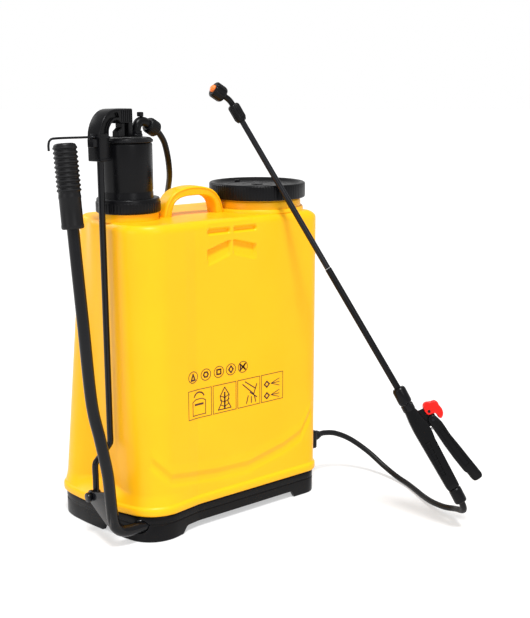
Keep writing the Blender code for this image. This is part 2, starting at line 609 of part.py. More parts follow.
# ---- spray gun and lance --------------------------------------------------------------------
GUN_NORMAL = GUN_SIDE.cross(GUN_AXIS)
HOSE_SOCKET = GUN_FOOT + GUN_SIDE * 4.3 * MM
TAIL_AXIS = Vector((0.378, 0.868, -0.322)).normalized()    # the hose tail leaves square to the gun
TAIL_BEND = 12 * MM
TRIGGER_PIN = (20.5, 103.5)       # in the gun's plane: towards the trigger, along the axis, in mm
LOCK_PIN = (21, 115.5)
VALVE_PIN_Y = 93


def on_gun(side, along):
    """A point of the gun's plane, in mm towards the trigger and along the axis."""
    return GUN_FOOT + (GUN_SIDE * side + GUN_AXIS * along) * MM


def tail_end():
    return HOSE_SOCKET - GUN_AXIS * (9 * MM + TAIL_BEND) + TAIL_AXIS * (TAIL_BEND + 9 * MM)


def gun_plate(name, outline, half, look, bevel=0.0, low=None):
    """An outline in the gun's plane, extruded to both sides of it."""
    made = prism(name, outline, -half if low is None else low, half, look, bevel=bevel)
    return aim(made, GUN_FOOT, GUN_NORMAL, GUN_SIDE)


def cross_pin(name, place, radius, half, look, sides=12):
    return drum(name, radius, -half, half, look, sides, on_gun(*place), GUN_NORMAL)


def gun():
    body = [(-4.4, 12.6), (11.4, 12.6), (12, 20), (12, 84), (13, 88), (13, 106), (11, 110), (8.5, 124),
            (7, 128), (7, 136.6), (-7, 136.6), (-7, 126), (-8.2, 112), (-8.2, 92), (-5.4, 30)]
    grip = gun_plate("gun_body", body, 7.5 * MM, "black_plastic", bevel=2 * MM)
    lug = [(9, 97), (20, 97), (26, 101), (26, 118), (21, 121), (6, 122)]
    join(grip, gun_plate("gun_lug", lug, 2.2 * MM, None))
    groove = [(-2.5, 34), (2.5, 34), (3.5, 82), (-2.5, 82)]
    cut(grip, gun_plate("groove_front", groove, -5.8 * MM, None, low=-9 * MM))
    cut(grip, gun_plate("groove_back", groove, 9 * MM, None, low=5.8 * MM))
    for place, name in ((TRIGGER_PIN, "trigger_hole"), (LOCK_PIN, "lock_hole")):
        cut(grip, cross_pin(name, place, 2.3 * MM, 9 * MM, None))
    cut(grip, drum("valve_hole", 2.5 * MM, -7 * MM, 12 * MM, None, 12, on_gun(11, VALVE_PIN_Y), GUN_SIDE))
    turned("gun_hose_nut", [(4.6, 12.2), (7.2, 12.2), (8.2, 10), (8.2, -6), (7, -8), (4.6, -8)],
           "black_plastic", 20, HOSE_SOCKET, GUN_AXIS, ring=True)
    centre = HOSE_SOCKET - GUN_AXIS * 9 * MM + TAIL_AXIS * TAIL_BEND
    bend = [centre - (GUN_AXIS * math.sin(t) + TAIL_AXIS * math.cos(t)) * TAIL_BEND
            for t in (0, math.pi / 6, math.pi / 3, math.pi / 2)]
    route = [HOSE_SOCKET + GUN_AXIS * 6 * MM, HOSE_SOCKET - GUN_AXIS * 2 * MM, *bend, tail_end()]
    tube("hose_tail", smooth_route(route, 5 * MM), 4.2 * MM, "black_plastic", 2)
    turned("gun_lance_nut", [(5.2, 159.5), (7.6, 159.5), (8.8, 157), (8.8, 139.5), (7.8, 137), (5.2, 137)],
           "black_plastic", 20, GUN_FOOT, GUN_AXIS, ring=True)


def trigger_set():
    blade = [*arc(*TRIGGER_PIN, 6.3, 20, 200, 6), (15.3, 96.5), (16.5, 85), (18.5, 67), (21.6, 46.7),
             (25.4, 27), (27.6, 23.4), (29.4, 14), (32, 9), (38.5, 8.8), (43.6, 11.4), (44.2, 14.5),
             (39.9, 36.2), (35.4, 59.5), (31.2, 81.6), (29.5, 96.5)]
    hand = gun_plate("trigger", blade, 6 * MM, "black_plastic", bevel=1.2 * MM)
    slot = [(0, 96), (22.5, 96), (29.4, 99), (29.4, 125), (0, 125)]
    cut(hand, gun_plate("trigger_slot", slot, 2.7 * MM, None))
    cut(hand, cross_pin("trigger_bore", TRIGGER_PIN, 2.3 * MM, 9 * MM, None))
    turn_origin(hand, on_gun(*TRIGGER_PIN))
    cross_pin("trigger_pin", TRIGGER_PIN, 2 * MM, 6.6 * MM, "black_steel")
    drum("valve_pin", 2 * MM, -4 * MM, 4.2 * MM, "bright_steel", 12, on_gun(11, VALVE_PIN_Y), GUN_SIDE)
    lobes = [(16.9, 122.6), (16.2, 118), (16.8, 113.5), (20, 110.9), (24.4, 110.6), (28, 108.2),
             (28.6, 103.6), (30, 100.6), (32.6, 100.9), (36.5, 105.6), (37.4, 111.2), (36.2, 117.2),
             (36, 121.6), (34, 124.4), (27, 125.7), (20.6, 126.7)]
    lock = gun_plate("trigger_lock", lobes, 6 * MM, "red_plastic", bevel=1.2 * MM)
    cut(lock, gun_plate("lock_slot", [(0, 100), (28, 100), (28, 130), (0, 130)], 2.7 * MM, None))
    cut(lock, cross_pin("lock_bore", LOCK_PIN, 2.3 * MM, 9 * MM, None))
    turn_origin(lock, on_gun(*LOCK_PIN))
    cross_pin("lock_pin", LOCK_PIN, 2 * MM, 6.6 * MM, "black_steel")


def lance():
    sleeve_end, tube_end = 188 * MM, 424 * MM
    drum("lance_sleeve", LANCE_R + 0.5 * MM, -9 * MM, sleeve_end, "black_plastic", 16, LANCE_FOOT, LANCE_AXIS)
    drum("lance_tube", LANCE_R, sleeve_end + GAP, tube_end, "black_plastic", 16, LANCE_FOOT, LANCE_AXIS)
    turned("lance_nut", [(4.2, 430), (6.6, 430), (7.8, 428), (7.8, 410), (6.2, 406), (4.2, 406)],
           "black_plastic", 20, LANCE_FOOT, LANCE_AXIS, ring=True)
    start = LANCE_FOOT + LANCE_AXIS * 424.6 * MM
    corner = start + LANCE_AXIS * 13 * MM
    bend = [start, start + LANCE_AXIS * 8 * MM, corner + (NOZZLE_AXIS - LANCE_AXIS) * 1.5 * MM,
            corner + NOZZLE_AXIS * 5 * MM, corner + NOZZLE_AXIS * 18 * MM]
    tube("nozzle_elbow", smooth_route(bend, 3 * MM), LANCE_R, "black_plastic", 2)
    mouth = corner + NOZZLE_AXIS * 10 * MM
    turned("nozzle_cap", [(5.4, 17), (9, 17), (10.4, 15.5), (10.4, 3), (9, 0), (4.3, 0), (4.3, 9), (5.4, 9)],
           "black_plastic", 20, mouth, NOZZLE_AXIS, ring=True)
    turned("nozzle_tip", [(0.7, 20.5), (3, 20), (5, 18), (5, 9.4), (0.7, 9.4)], "orange_plastic", 20, mouth,
           NOZZLE_AXIS, ring=True)


def main():
    for obj in list(bpy.data.objects):
        bpy.data.objects.remove(obj)
    for group in (PARTS, CUTTERS):
        bpy.context.scene.collection.children.link(group)
    for build in (tank_shell, base_tray, pump_set, air_chamber, goose_neck, wire_hook, outlet, filler_set,
                  lever, crank_pin, connecting_rod, axle_bearing, harness, hose, gun, trigger_set, lance):
        build()


main()
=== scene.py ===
"""Looks for a knapsack sprayer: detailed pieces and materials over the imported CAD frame."""
import json
import math

import bmesh
import bpy
from mathutils import Matrix, Vector


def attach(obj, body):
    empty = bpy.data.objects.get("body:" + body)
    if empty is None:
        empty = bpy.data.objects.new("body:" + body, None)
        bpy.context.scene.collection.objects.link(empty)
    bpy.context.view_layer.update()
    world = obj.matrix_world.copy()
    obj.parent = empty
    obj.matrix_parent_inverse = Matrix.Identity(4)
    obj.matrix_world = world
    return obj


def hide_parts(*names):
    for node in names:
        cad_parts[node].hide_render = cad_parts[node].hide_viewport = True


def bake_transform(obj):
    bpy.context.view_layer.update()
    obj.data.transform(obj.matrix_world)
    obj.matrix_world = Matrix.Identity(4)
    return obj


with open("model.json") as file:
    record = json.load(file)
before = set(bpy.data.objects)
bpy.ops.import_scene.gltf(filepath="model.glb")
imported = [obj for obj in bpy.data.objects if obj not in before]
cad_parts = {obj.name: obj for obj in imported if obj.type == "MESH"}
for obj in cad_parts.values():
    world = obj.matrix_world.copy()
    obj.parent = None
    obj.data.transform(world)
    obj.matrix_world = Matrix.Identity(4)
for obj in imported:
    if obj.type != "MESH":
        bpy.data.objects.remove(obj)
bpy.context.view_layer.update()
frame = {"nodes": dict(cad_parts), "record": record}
MM = 0.001

# ---- driving dimensions, in metres unless a name says otherwise -------------------------------
TANK_FRONT, TANK_BACK, TANK_RIGHT = -0.085, 0.085, 0.168
RIM_Z, TANK_TOP = 0.033, 0.400
COLUMN = Vector((-0.078, -0.043))
COLUMN_R = 0.046
GROOVE_X = -0.1215
PUMP = Vector((-0.0846, -0.010, 0))
FILLER = Vector((0.108, -0.020, 0))
AXLE_Y, AXLE_Z = -0.072, 0.019
CRANK_Y, CRANK_Z = -0.027, 0.056
LEVER_R, ROD_R, HOSE_R, LANCE_R = 0.0073, 0.004, 0.0039, 0.0038
ROD_X, ROD_LOW_X, ROD_TOP = -0.1305, -0.153, 0.500
BRACKET_U = Vector((-0.9377, -0.3473, 0))
GUN_FOOT = Vector((0.220, -0.293, 0.045))
GUN_AXIS = Vector((-0.2549, 0.4315, 0.8654)).normalized()
GUN_SIDE = Vector((0.7617, -0.4616, 0.4546)).normalized()
GUN_NORMAL = GUN_SIDE.cross(GUN_AXIS)
LANCE_FOOT = Vector((0.182, -0.229, 0.174))
LANCE_AXIS = Vector((-0.2866, 0.4541, 0.8436)).normalized()
NOZZLE_AXIS = Vector((-0.830, 0.170, 0.530)).normalized()
HOSE_SOCKET = GUN_FOOT + GUN_SIDE * 0.0043
TAIL_AXIS = Vector((0.378, 0.868, -0.322)).normalized()
TAIL_BEND, TAIL_DROP, TAIL_REACH = 0.012, 0.009, 0.009
FINE = 64                         # steps round a turned piece
SHARP = 32                        # degrees between faces from which an edge stays sharp


# ---- materials --------------------------------------------------------------------------------
def node(tree, kind, inputs=None, **settings):
    """Add a shader node, set its properties and then its input values."""
    made = tree.nodes.new(kind)
    for key, value in settings.items():
        setattr(made, key, value)
    for key, value in (inputs or {}).items():
        made.inputs[key].default_value = value
    return made


def noise(tree, where, scale, detail=3.0):
    made = node(tree, "ShaderNodeTexNoise", {"Scale": scale, "Detail": detail})
    tree.links.new(where.outputs["Object"], made.inputs["Vector"])
    return made


def ramp(tree, source, stops):
    """Colour ramp with (position, colour) stops fed by a node's first factor output."""
    made = tree.nodes.new("ShaderNodeValToRGB")
    points = made.color_ramp.elements
    while len(points) < len(stops):
        points.new(0.5)
    for point, (at, color) in zip(points, stops):
        point.position = at
        point.color = (*color, 1.0)
    tree.links.new(source, made.inputs["Fac"])
    return made


def tinted(color, factor):
    return tuple(min(1.0, channel * factor) for channel in color)


def surface(name, color, rough, grain, bump, wear, metallic=0.0, mottle=0.06, **sockets):
    """Moulded, painted or plated surface: mottled colour, worn edges, uneven gloss and fine grain."""
    made = bpy.data.materials.new(name)
    made.use_nodes = True
    tree = made.node_tree
    shader = tree.nodes["Principled BSDF"]
    shader.inputs["Metallic"].default_value = metallic
    for socket, value in sockets.items():
        shader.inputs[socket.replace("_", " ")].default_value = value
    where = tree.nodes.new("ShaderNodeTexCoord")
    broad, fine = noise(tree, where, 14.0), noise(tree, where, grain, 4.0)
    shades = ramp(tree, broad.outputs["Fac"],
                  [(0.3, tinted(color, 1 - mottle)), (0.7, tinted(color, 1 + mottle))])
    edges = node(tree, "ShaderNodeNewGeometry")
    worn = ramp(tree, edges.outputs["Pointiness"], [(0.52, (0, 0, 0)), (0.60, (1, 1, 1))])
    lift = node(tree, "ShaderNodeMix", data_type="RGBA", blend_type="MIX")
    lift.inputs[7].default_value = (*tinted(color, wear), 1.0)
    tree.links.new(worn.outputs["Color"], lift.inputs[0])
    tree.links.new(shades.outputs["Color"], lift.inputs[6])
    tree.links.new(lift.outputs[2], shader.inputs["Base Color"])
    gloss = node(tree, "ShaderNodeMapRange", {"To Min": rough - 0.05, "To Max": rough + 0.07})
    tree.links.new(noise(tree, where, 45.0).outputs["Fac"], gloss.inputs["Value"])
    tree.links.new(gloss.outputs["Result"], shader.inputs["Roughness"])
    relief = node(tree, "ShaderNodeBump", {"Strength": bump, "Distance": 0.0004})
    tree.links.new(fine.outputs["Fac"], relief.inputs["Height"])
    tree.links.new(relief.outputs["Normal"], shader.inputs["Normal"])
    return made


def woven(name, color, pitch):
    """Webbing or pad cloth: crossed bands of yarn for bump, with a soft sheen."""
    made = surface(name, color, 0.82, grain=900.0, bump=0.2, wear=1.6, Sheen_Weight=0.04,
                   Specular_IOR_Level=0.2)
    tree = made.node_tree
    shader = tree.nodes["Principled BSDF"]
    where = tree.nodes["Texture Coordinate"]
    waves = []
    for direction in ("Z", "X"):
        yarn = node(tree, "ShaderNodeTexWave", {"Scale": 1 / pitch, "Distortion": 0.6},
                    wave_type="BANDS", bands_direction=direction)
        tree.links.new(where.outputs["Object"], yarn.inputs["Vector"])
        waves.append(yarn)
    cross = node(tree, "ShaderNodeMath", operation="MAXIMUM")
    for socket, yarn in zip(cross.inputs, waves):
        tree.links.new(yarn.outputs["Fac"], socket)
    relief = node(tree, "ShaderNodeBump", {"Strength": 0.6, "Distance": 0.0005})
    tree.links.new(cross.outputs["Value"], relief.inputs["Height"])
    tree.links.new(relief.outputs["Normal"], shader.inputs["Normal"])
    return made


LOOKS = {
    "tank_yellow": surface("tank_yellow", (1.0, 0.47, 0.005), 0.34, grain=420.0, bump=0.05, wear=1.06,
                           mottle=0.025, Subsurface_Weight=0.02, Specular_IOR_Level=0.20),
    "black_plastic": surface("black_plastic", (0.0026, 0.0026, 0.0032), 0.28, grain=900.0, bump=0.08,
                             wear=2.6, Specular_IOR_Level=0.15),
    "black_rubber": surface("black_rubber", (0.0036, 0.0036, 0.0042), 0.42, grain=700.0, bump=0.14, wear=2.2,
                            Specular_IOR_Level=0.22),
    "red_plastic": surface("red_plastic", (0.80, 0.010, 0.006), 0.30, grain=500.0, bump=0.04, wear=1.1,
                           Specular_IOR_Level=0.25),
    "orange_plastic": surface("orange_plastic", (1.0, 0.19, 0.02), 0.32, grain=500.0, bump=0.04, wear=1.1),
    "black_steel": surface("black_steel", (0.0028, 0.003, 0.004), 0.22, grain=260.0, bump=0.05, wear=2.2,
                           Specular_IOR_Level=0.25),
    "bright_steel": surface("bright_steel", (0.58, 0.58, 0.60), 0.24, grain=600.0, bump=0.06, wear=1.2,
                            metallic=1.0),
    "webbing": woven("webbing", (0.008, 0.008, 0.010), 0.0024),
    "white_plastic": surface("white_plastic", (0.78, 0.78, 0.74), 0.42, grain=500.0, bump=0.05, wear=1.03),
    "ink": surface("ink", (0.055, 0.016, 0.008), 0.55, grain=900.0, bump=0.02, wear=1.0),
}


# ---- mesh tools -------------------------------------------------------------------------------
def turn(at=(0, 0, 0), axis=(0, 0, 1), spin=None):
    """Matrix with its origin at a point, local Z along an axis and local X towards spin."""
    z = Vector(axis).normalized()
    x = Vector(spin) if spin is not None else (Vector((0, 1, 0)) if abs(z.x) > 0.9 else Vector((1, 0, 0)))
    x = (x - z * x.dot(z)).normalized()
    return Matrix.Translation(Vector(at)) @ Matrix((x, z.cross(x), z)).transposed().to_4x4()


def solid(bm, where=None, sharp=SHARP):
    """Close a bmesh into an object with its points in the frame's own coordinates."""
    mesh = bpy.data.meshes.new("solid")
    bmesh.ops.recalc_face_normals(bm, faces=bm.faces)
    bm.to_mesh(mesh)
    bm.free()
    if where is not None:
        mesh.transform(where)
    mesh.shade_smooth()
    mesh.set_sharp_from_angle(angle=math.radians(sharp))
    obj = bpy.data.objects.new("solid", mesh)
    bpy.context.scene.collection.objects.link(obj)
    return obj


def skin(rings, closed=False):
    """Faces between equal rings of points; the ends are capped unless the last ring meets the first."""
    bm = bmesh.new()
    rows = [[bm.verts.new(point) for point in ring] for ring in rings]
    pairs = list(zip(rows, rows[1:])) + ([(rows[-1], rows[0])] if closed else [])
    for low, high in pairs:
        for i in range(len(low)):
            j = (i + 1) % len(low)
            bm.faces.new((low[i], low[j], high[j], high[i]))
    if not closed:
        bm.faces.new(list(reversed(rows[0])))
        bm.faces.new(rows[-1])
    return bm


def lathe(profile, where, ribs=0, depth=0.0, ribbed=None, steps=FINE, bevel=0, sharp=SHARP):
    """Turn (radius, height) points, in mm, round local Z.

    ribbed is a lowest height, a highest height and a radius: points between the heights and beyond the
    radius swell out into round ribs.
    """
    count = ribs * 6 if ribs else steps
    rings = []
    for radius, height in profile:
        inside = ribbed and ribbed[0] <= height <= ribbed[1] and radius > ribbed[2]
        points = []
        for i in range(count):
            angle = 2 * math.pi * i / count
            grow = depth * (abs(math.cos(ribs * angle / 2)) - 0.6) if inside else 0.0
            points.append(((radius + grow) * MM * math.cos(angle), (radius + grow) * MM * math.sin(angle),
                           height * MM))
        rings.append(points)
    obj = solid(skin(rings, closed=True), where, sharp)
    return soften(obj, bevel) if bevel else obj


def soften(obj, width, segments=2):
    """Round the edges of a piece, with the width in mm."""
    edge = obj.modifiers.new("rounded", "BEVEL")
    edge.width = width * MM
    edge.segments = segments
    edge.limit_method = "ANGLE"
    edge.angle_limit = math.radians(35)
    edge.use_clamp_overlap = True
    edge.harden_normals = False
    return obj


def slab(outline, low, high, where, bevel=0, segments=3):
    """A flat outline of (x, y) points, in mm, extruded along local Z; a bevel rounds its edges."""
    bm = bmesh.new()
    verts = [bm.verts.new((x * MM, y * MM, low * MM)) for x, y in outline]
    grown = bmesh.ops.extrude_face_region(bm, geom=[bm.faces.new(verts)])
    top = [item for item in grown["geom"] if isinstance(item, bmesh.types.BMVert)]
    bmesh.ops.translate(bm, verts=top, vec=(0, 0, (high - low) * MM))
    obj = solid(bm, where)
    return soften(obj, bevel, segments) if bevel else obj


def arc(cx, cy, radius, start, end, count):
    """Points on an arc, angles in degrees."""
    return [(cx + radius * math.cos(math.radians(start + (end - start) * i / count)),
             cy + radius * math.sin(math.radians(start + (end - start) * i / count)))
            for i in range(count + 1)]


def metres(places):
    """Vectors in metres for points given in mm."""
    return [Vector(place) * MM for place in places]


def smooth_route(points, spacing):
    """Points at an even spacing along a Catmull-Rom curve through the given points."""
    pts = [Vector(p) for p in points]
    pts = [pts[0] * 2 - pts[1], *pts, pts[-1] * 2 - pts[-2]]
    dense = []
    for i in range(1, len(pts) - 2):
        for k in range(24):
            t = k / 24
            a, b, c, d = pts[i - 1:i + 3]
            dense.append(0.5 * ((2 * b) + (c - a) * t + (2 * a - 5 * b + 4 * c - d) * t * t
                                + (3 * b - a - 3 * c + d) * t ** 3))
    dense.append(pts[-2])
    length = sum((b - a).length for a, b in zip(dense, dense[1:]))
    count = max(2, round(length / spacing))
    out, walked, want = [dense[0]], 0.0, length / count
    for a, b in zip(dense, dense[1:]):
        step = (b - a).length
        while walked + step >= want and len(out) < count:
            out.append(a.lerp(b, (want - walked) / step))
            want += length / count
        walked += step
    return out + [dense[-1]]


def sweep(route, radius, sides=24):
    """A round bar along a route. The radius may be a function of the share of the way along."""
    rings = []
    up = Vector((0.3, 0.2, 1)).normalized()
    for i, place in enumerate(route):
        along = (route[min(len(route) - 1, i + 1)] - route[max(0, i - 1)]).normalized()
        side = (up - along * up.dot(along)).normalized()
        other = along.cross(side)
        up = side
        r = radius(i / (len(route) - 1)) if callable(radius) else radius
        rings.append([place + (side * math.cos(a) + other * math.sin(a)) * r
                      for a in (2 * math.pi * k / sides for k in range(sides))])
    return solid(skin(rings), None, 50)


def baked(obj):
    """Apply the object's modifiers to its mesh."""
    mesh = bpy.data.meshes.new_from_object(obj.evaluated_get(bpy.context.evaluated_depsgraph_get()))
    obj.modifiers.clear()
    obj.data = mesh
    return obj


def together(*objects):
    """Merge several solids, with their rounded edges, into one object."""
    bm = bmesh.new()
    for obj in objects:
        bm.from_mesh(baked(obj).data)
        bpy.data.objects.remove(obj)
    mesh = bpy.data.meshes.new("merged")
    bm.to_mesh(mesh)
    bm.free()
    made = bpy.data.objects.new("merged", mesh)
    bpy.context.scene.collection.objects.link(made)
    return made


def carved(obj, *tools):
    """Cut the tools out of the object and remove them."""
    baked(obj)
    for tool in tools:
        baked(tool)
        step = obj.modifiers.new("carved", "BOOLEAN")
        step.object = tool
        step.solver = "EXACT"
    baked(obj)
    for tool in tools:
        bpy.data.objects.remove(tool)
    obj.data.shade_smooth()
    obj.data.set_sharp_from_angle(angle=math.radians(SHARP))
    return obj


def finish_piece(obj, name, body, look, *stands_for, slot=None):
    """Name a piece, give it its material and put it on its body in place of CAD nodes."""
    obj.name = name
    obj.data.name = name
    obj.data.materials.clear()
    obj.data.materials.append(LOOKS[look])
    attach(obj, body)
    if stands_for:
        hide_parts(*stands_for)
    return obj


# ---- camera, light and floor ------------------------------------------------------------------
def studio():
    """Camera at the sprayer's front left, a sun, three soft lamps, a white surround and a pale floor."""
    camera_data = bpy.data.cameras.new("camera")
    camera_data.lens = 58.25
    camera_data.sensor_width = 36
    camera_data.clip_end = 20
    camera = bpy.data.objects.new("camera", camera_data)
    camera.location = (-0.7037, -1.0935, 0.5667)
    camera.rotation_euler = (math.radians(77.164), 0, math.radians(-37.544))
    bpy.context.scene.collection.objects.link(camera)
    bpy.context.scene.camera = camera
    for name, kind, place, power, size in (("sun", "SUN", (-0.35, -0.75, 2.0), 3.0, 0.25),
                                           ("key", "AREA", (-0.2, -1.7, 1.1), 4, 0.6),
                                           ("side", "AREA", (-1.7, -0.3, 0.8), 3, 0.5),
                                           ("rim", "AREA", (-0.7, 1.4, 1.2), 9, 0.9)):
        lamp = bpy.data.lights.new(name, kind)
        lamp.energy = power
        if kind == "SUN":
            lamp.angle = size
        else:
            lamp.size = size
        obj = bpy.data.objects.new(name, lamp)
        obj.location = place
        obj.rotation_euler = (Vector((0, 0, 0.25)) - Vector(place)).to_track_quat("-Z", "Y").to_euler()
        bpy.context.scene.collection.objects.link(obj)
    world = bpy.data.worlds.new("studio")
    bpy.context.scene.world = world
    world.use_nodes = True
    tree = world.node_tree
    seen = node(tree, "ShaderNodeLightPath")
    level = node(tree, "ShaderNodeMapRange", {"To Min": 0.62, "To Max": 1.0})
    tree.links.new(seen.outputs["Is Camera Ray"], level.inputs["Value"])
    tree.links.new(level.outputs["Result"], tree.nodes["Background"].inputs["Strength"])
    tree.nodes["Background"].inputs["Color"].default_value = (1, 1, 1, 1)
    bm = bmesh.new()
    bmesh.ops.create_grid(bm, x_segments=1, y_segments=1, size=60)
    floor = solid(bm, Matrix.Translation((0, 0, -0.0002)))
    floor.name = "floor"
    paint = surface("floor_paint", (0.45, 0.45, 0.45), 0.8, grain=60.0, bump=0.01, wear=1.0, mottle=0.005,
                    Specular_IOR_Level=0.0, Emission_Strength=0.50, Emission_Color=(1.0, 1.0, 1.0, 1.0))
    floor.data.materials.append(paint)
    bpy.context.scene.view_settings.view_transform = "Standard"


# ---- hose -------------------------------------------------------------------------------------
HOSE_NUT_AXIS = Vector((0.86, 0.17, -0.48)).normalized()
HOSE_NUT_FOOT = Vector((-52.7, -7.2, 515.1)) * MM
HOSE_UPPER = [(-41, -4.9, 508.5), (-34, -3.2, 503.5), (-24, 1, 492), (-16, 7, 477), (-8, 16, 461),
              (2, 31, 445), (12, 50, 430), (22, 70, 416), (29, 86, 404), (32, 96, 391), (32.5, 99.3, 381),
              (32.5, 99.3, 371.3)]
HOSE_BACK = [(32.5, 99.3, 371.2), (32.5, 99.3, 362), (32.5, 99, 345), (33, 95.5, 318),
             (35, 91, 285), (38, 90, 240), (42, 90, 180), (50, 90, 130), (64, 90, 95), (90, 91, 74),
             (122, 91.6, 66), (150, 90, 65), (170, 78, 65), (177.5, 55, 65), (178.6, 25, 65), (178.6, 0, 65),
             (178.6, -19.4, 65)]
HOSE_FREE = [(202.8, -45, 64), (212, -45, 64), (230, -49, 60.5), (250, -60, 50), (267, -80, 33),
             (276, -105, 16), (278, -130, 7), (275, -155, 4.6), (268, -178, 4.4), (260, -200, 5),
             (252, -222, 7.2), (246.5, -243, 10.2), (244, -257, 12.9)]


def tail_end():
    """Where the gun's bent hose tail stops and the free hose starts."""
    return HOSE_SOCKET - GUN_AXIS * (TAIL_DROP + TAIL_BEND) + TAIL_AXIS * (TAIL_BEND + TAIL_REACH)


def hose():
    """The pressure hose: pump to clip, down the back to the side guide, and free to the gun."""
    upper = smooth_route(metres(HOSE_UPPER), 0.004)
    flexing = sweep(upper, HOSE_R)
    flexing.name = flexing.data.name = "hose_upper_skin"
    flexing.data.materials.append(LOOKS["black_rubber"])
    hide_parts("hose_upper")
    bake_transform(flexing)
    back = smooth_route(metres(HOSE_BACK), 0.004)
    finish_piece(sweep(back, HOSE_R), "hose_back_skin", "tank", "black_rubber", "hose_back")
    places = metres(HOSE_FREE)
    places += [tail_end() + TAIL_AXIS * reach for reach in (0.016, 0.0004)]
    free = smooth_route(places, 0.003)
    skin_piece = finish_piece(sweep(free, HOSE_R), "hose_free_skin", "tank", "black_rubber", "hose_free")
    cone = lathe([(4.1, 18), (5.0, 17.6), (5.4, 15.5), (6.6, 14), (6.2, 12.2), (7.4, 10.6), (7.0, 8.8),
                  (8.3, 7.2), (8.8, 0), (4.1, 0)], turn((0.1843, -0.045, 0.064), (1, 0, 0)), bevel=0.3)
    finish_piece(cone, "hose_strain_relief", "tank", "black_rubber", "hose_cone")
    guide = carved(slab([(-21, -13), (21, -13), (21, 13), (-21, 13)], 0.6, 16,
                        turn((TANK_RIGHT, -0.041, 0.065), (1, 0, 0), (0, 1, 0)), bevel=2.2),
                   lathe([(4.2, 1), (4.2, -30), (0.01, -30), (0.01, 1)],
                         turn((0.1786, -0.0250, 0.065), (0, -1, 0)), steps=24))
    finish_piece(guide, "hose_guide_block", "tank", "black_plastic", "hose_guide")


# ---- tank -------------------------------------------------------------------------------------
def tank_outline(z, flare):
    """Plan of the tank at a height, in metres. flare 1 is the rim, 0 the grooved body above it."""
    far = -(0.114 + (0.391 - max(z, 0.060)) * 0.1) * (1 - flare) - 0.151 * flare
    side = [(-147, 17), (-143, -2), (-139, -20), (-133, -36)]
    groove = [(GROOVE_X / MM - 1.5, 20), (GROOVE_X / MM, 2), (GROOVE_X / MM, -22), (-122.6, -35)]
    mix = [((a[0] * flare + b[0] * (1 - flare)) * MM, (a[1] * flare + b[1] * (1 - flare)) * MM)
           for a, b in zip(side, groove)]
    front_right = arc(0.147, TANK_FRONT + 0.021, 0.021, -90, -4, 10)
    back_right = arc(TANK_RIGHT - 0.030, TANK_BACK - 0.030, 0.030, 0, 90, 10)
    back_left = arc(far + 0.028, TANK_BACK - 0.028, 0.028, 90, 180, 10)
    column = arc(COLUMN.x, COLUMN.y, COLUMN_R + 0.002 * flare, 196, 276, 14)
    return [(-0.036, TANK_FRONT), (0.025, TANK_FRONT), (0.090, TANK_FRONT), *front_right,
            (TANK_RIGHT, -0.020), (TANK_RIGHT, 0.020), *back_right, (0.065, TANK_BACK - 0.002),
            (0, TANK_BACK - 0.003), (-0.060, TANK_BACK - 0.002), *back_left, (far, 0.045), *mix, *column,
            (-0.052, TANK_FRONT - 0.0025)]


def side_counts():
    """How many pieces each side of the tank's outline is split into, by the rim's own lengths."""
    ring = tank_outline(RIM_Z, 1)
    counts = []
    for a, b in zip(ring, ring[1:] + ring[:1]):
        step = FRONT_STEP if a[1] < -0.080 and b[1] < -0.080 else 3 * FRONT_STEP
        counts.append(max(1, round((Vector(b) - Vector(a)).length / step)))
    return counts


FRONT_STEP = 0.0016               # spacing of the front face's points
FRONT_Y, FRONT_X = -0.0815, 0.152  # relief is only on the points in front of and left of these
SHOULDER = 389                    # height in mm at which the tank starts to round over
SIDE_COUNTS = side_counts()


def refined(outline):
    """Split the outline's sides evenly and soften its corners."""
    points = []
    for a, b, count in zip(outline, outline[1:] + outline[:1], SIDE_COUNTS):
        points += [Vector(a).lerp(Vector(b), k / count) for k in range(count)]
    for smoothing in range(2):
        following = points[1:] + points[:1]
        points = [(points[i - 1] + points[i] * 2 + following[i]) / 4 for i in range(len(points))]
    return points


def inset(points, amount):
    """Move a counter-clockwise outline inwards; amount may depend on the outline's normal."""
    out = []
    for i, point in enumerate(points):
        along = (points[(i + 1) % len(points)] - points[i - 1]).normalized()
        normal = Vector((along.y, -along.x))
        out.append(point - normal * (amount(normal) if callable(amount) else amount))
    return out


def between(value, low, high, soft):
    """1 between low and high, falling to 0 over a soft border outside them."""
    rise = min(1.0, max(0.0, (value - low) / soft + 1))
    fall = min(1.0, max(0.0, (high - value) / soft + 1))
    return min(rise, fall)


def slope(x, a, b):
    """Height at x of the straight line through two (x, z) points."""
    return a[1] + (b[1] - a[1]) * (x - a[0]) / (b[0] - a[0])


SWOOSH = [(-103, 112), (-79, 86), (-48, 81), (-10, 76), (44, 74), (104, 87), (134, 99), (156, 136)]
GRIP_POCKETS = [((-17, 362), (17, 372), (-17, 345), (17, 356)), ((22, 372), (57, 363), (22, 356), (57, 346))]
GRIP_SLOTS = [(-16, 16), (23, 57)]


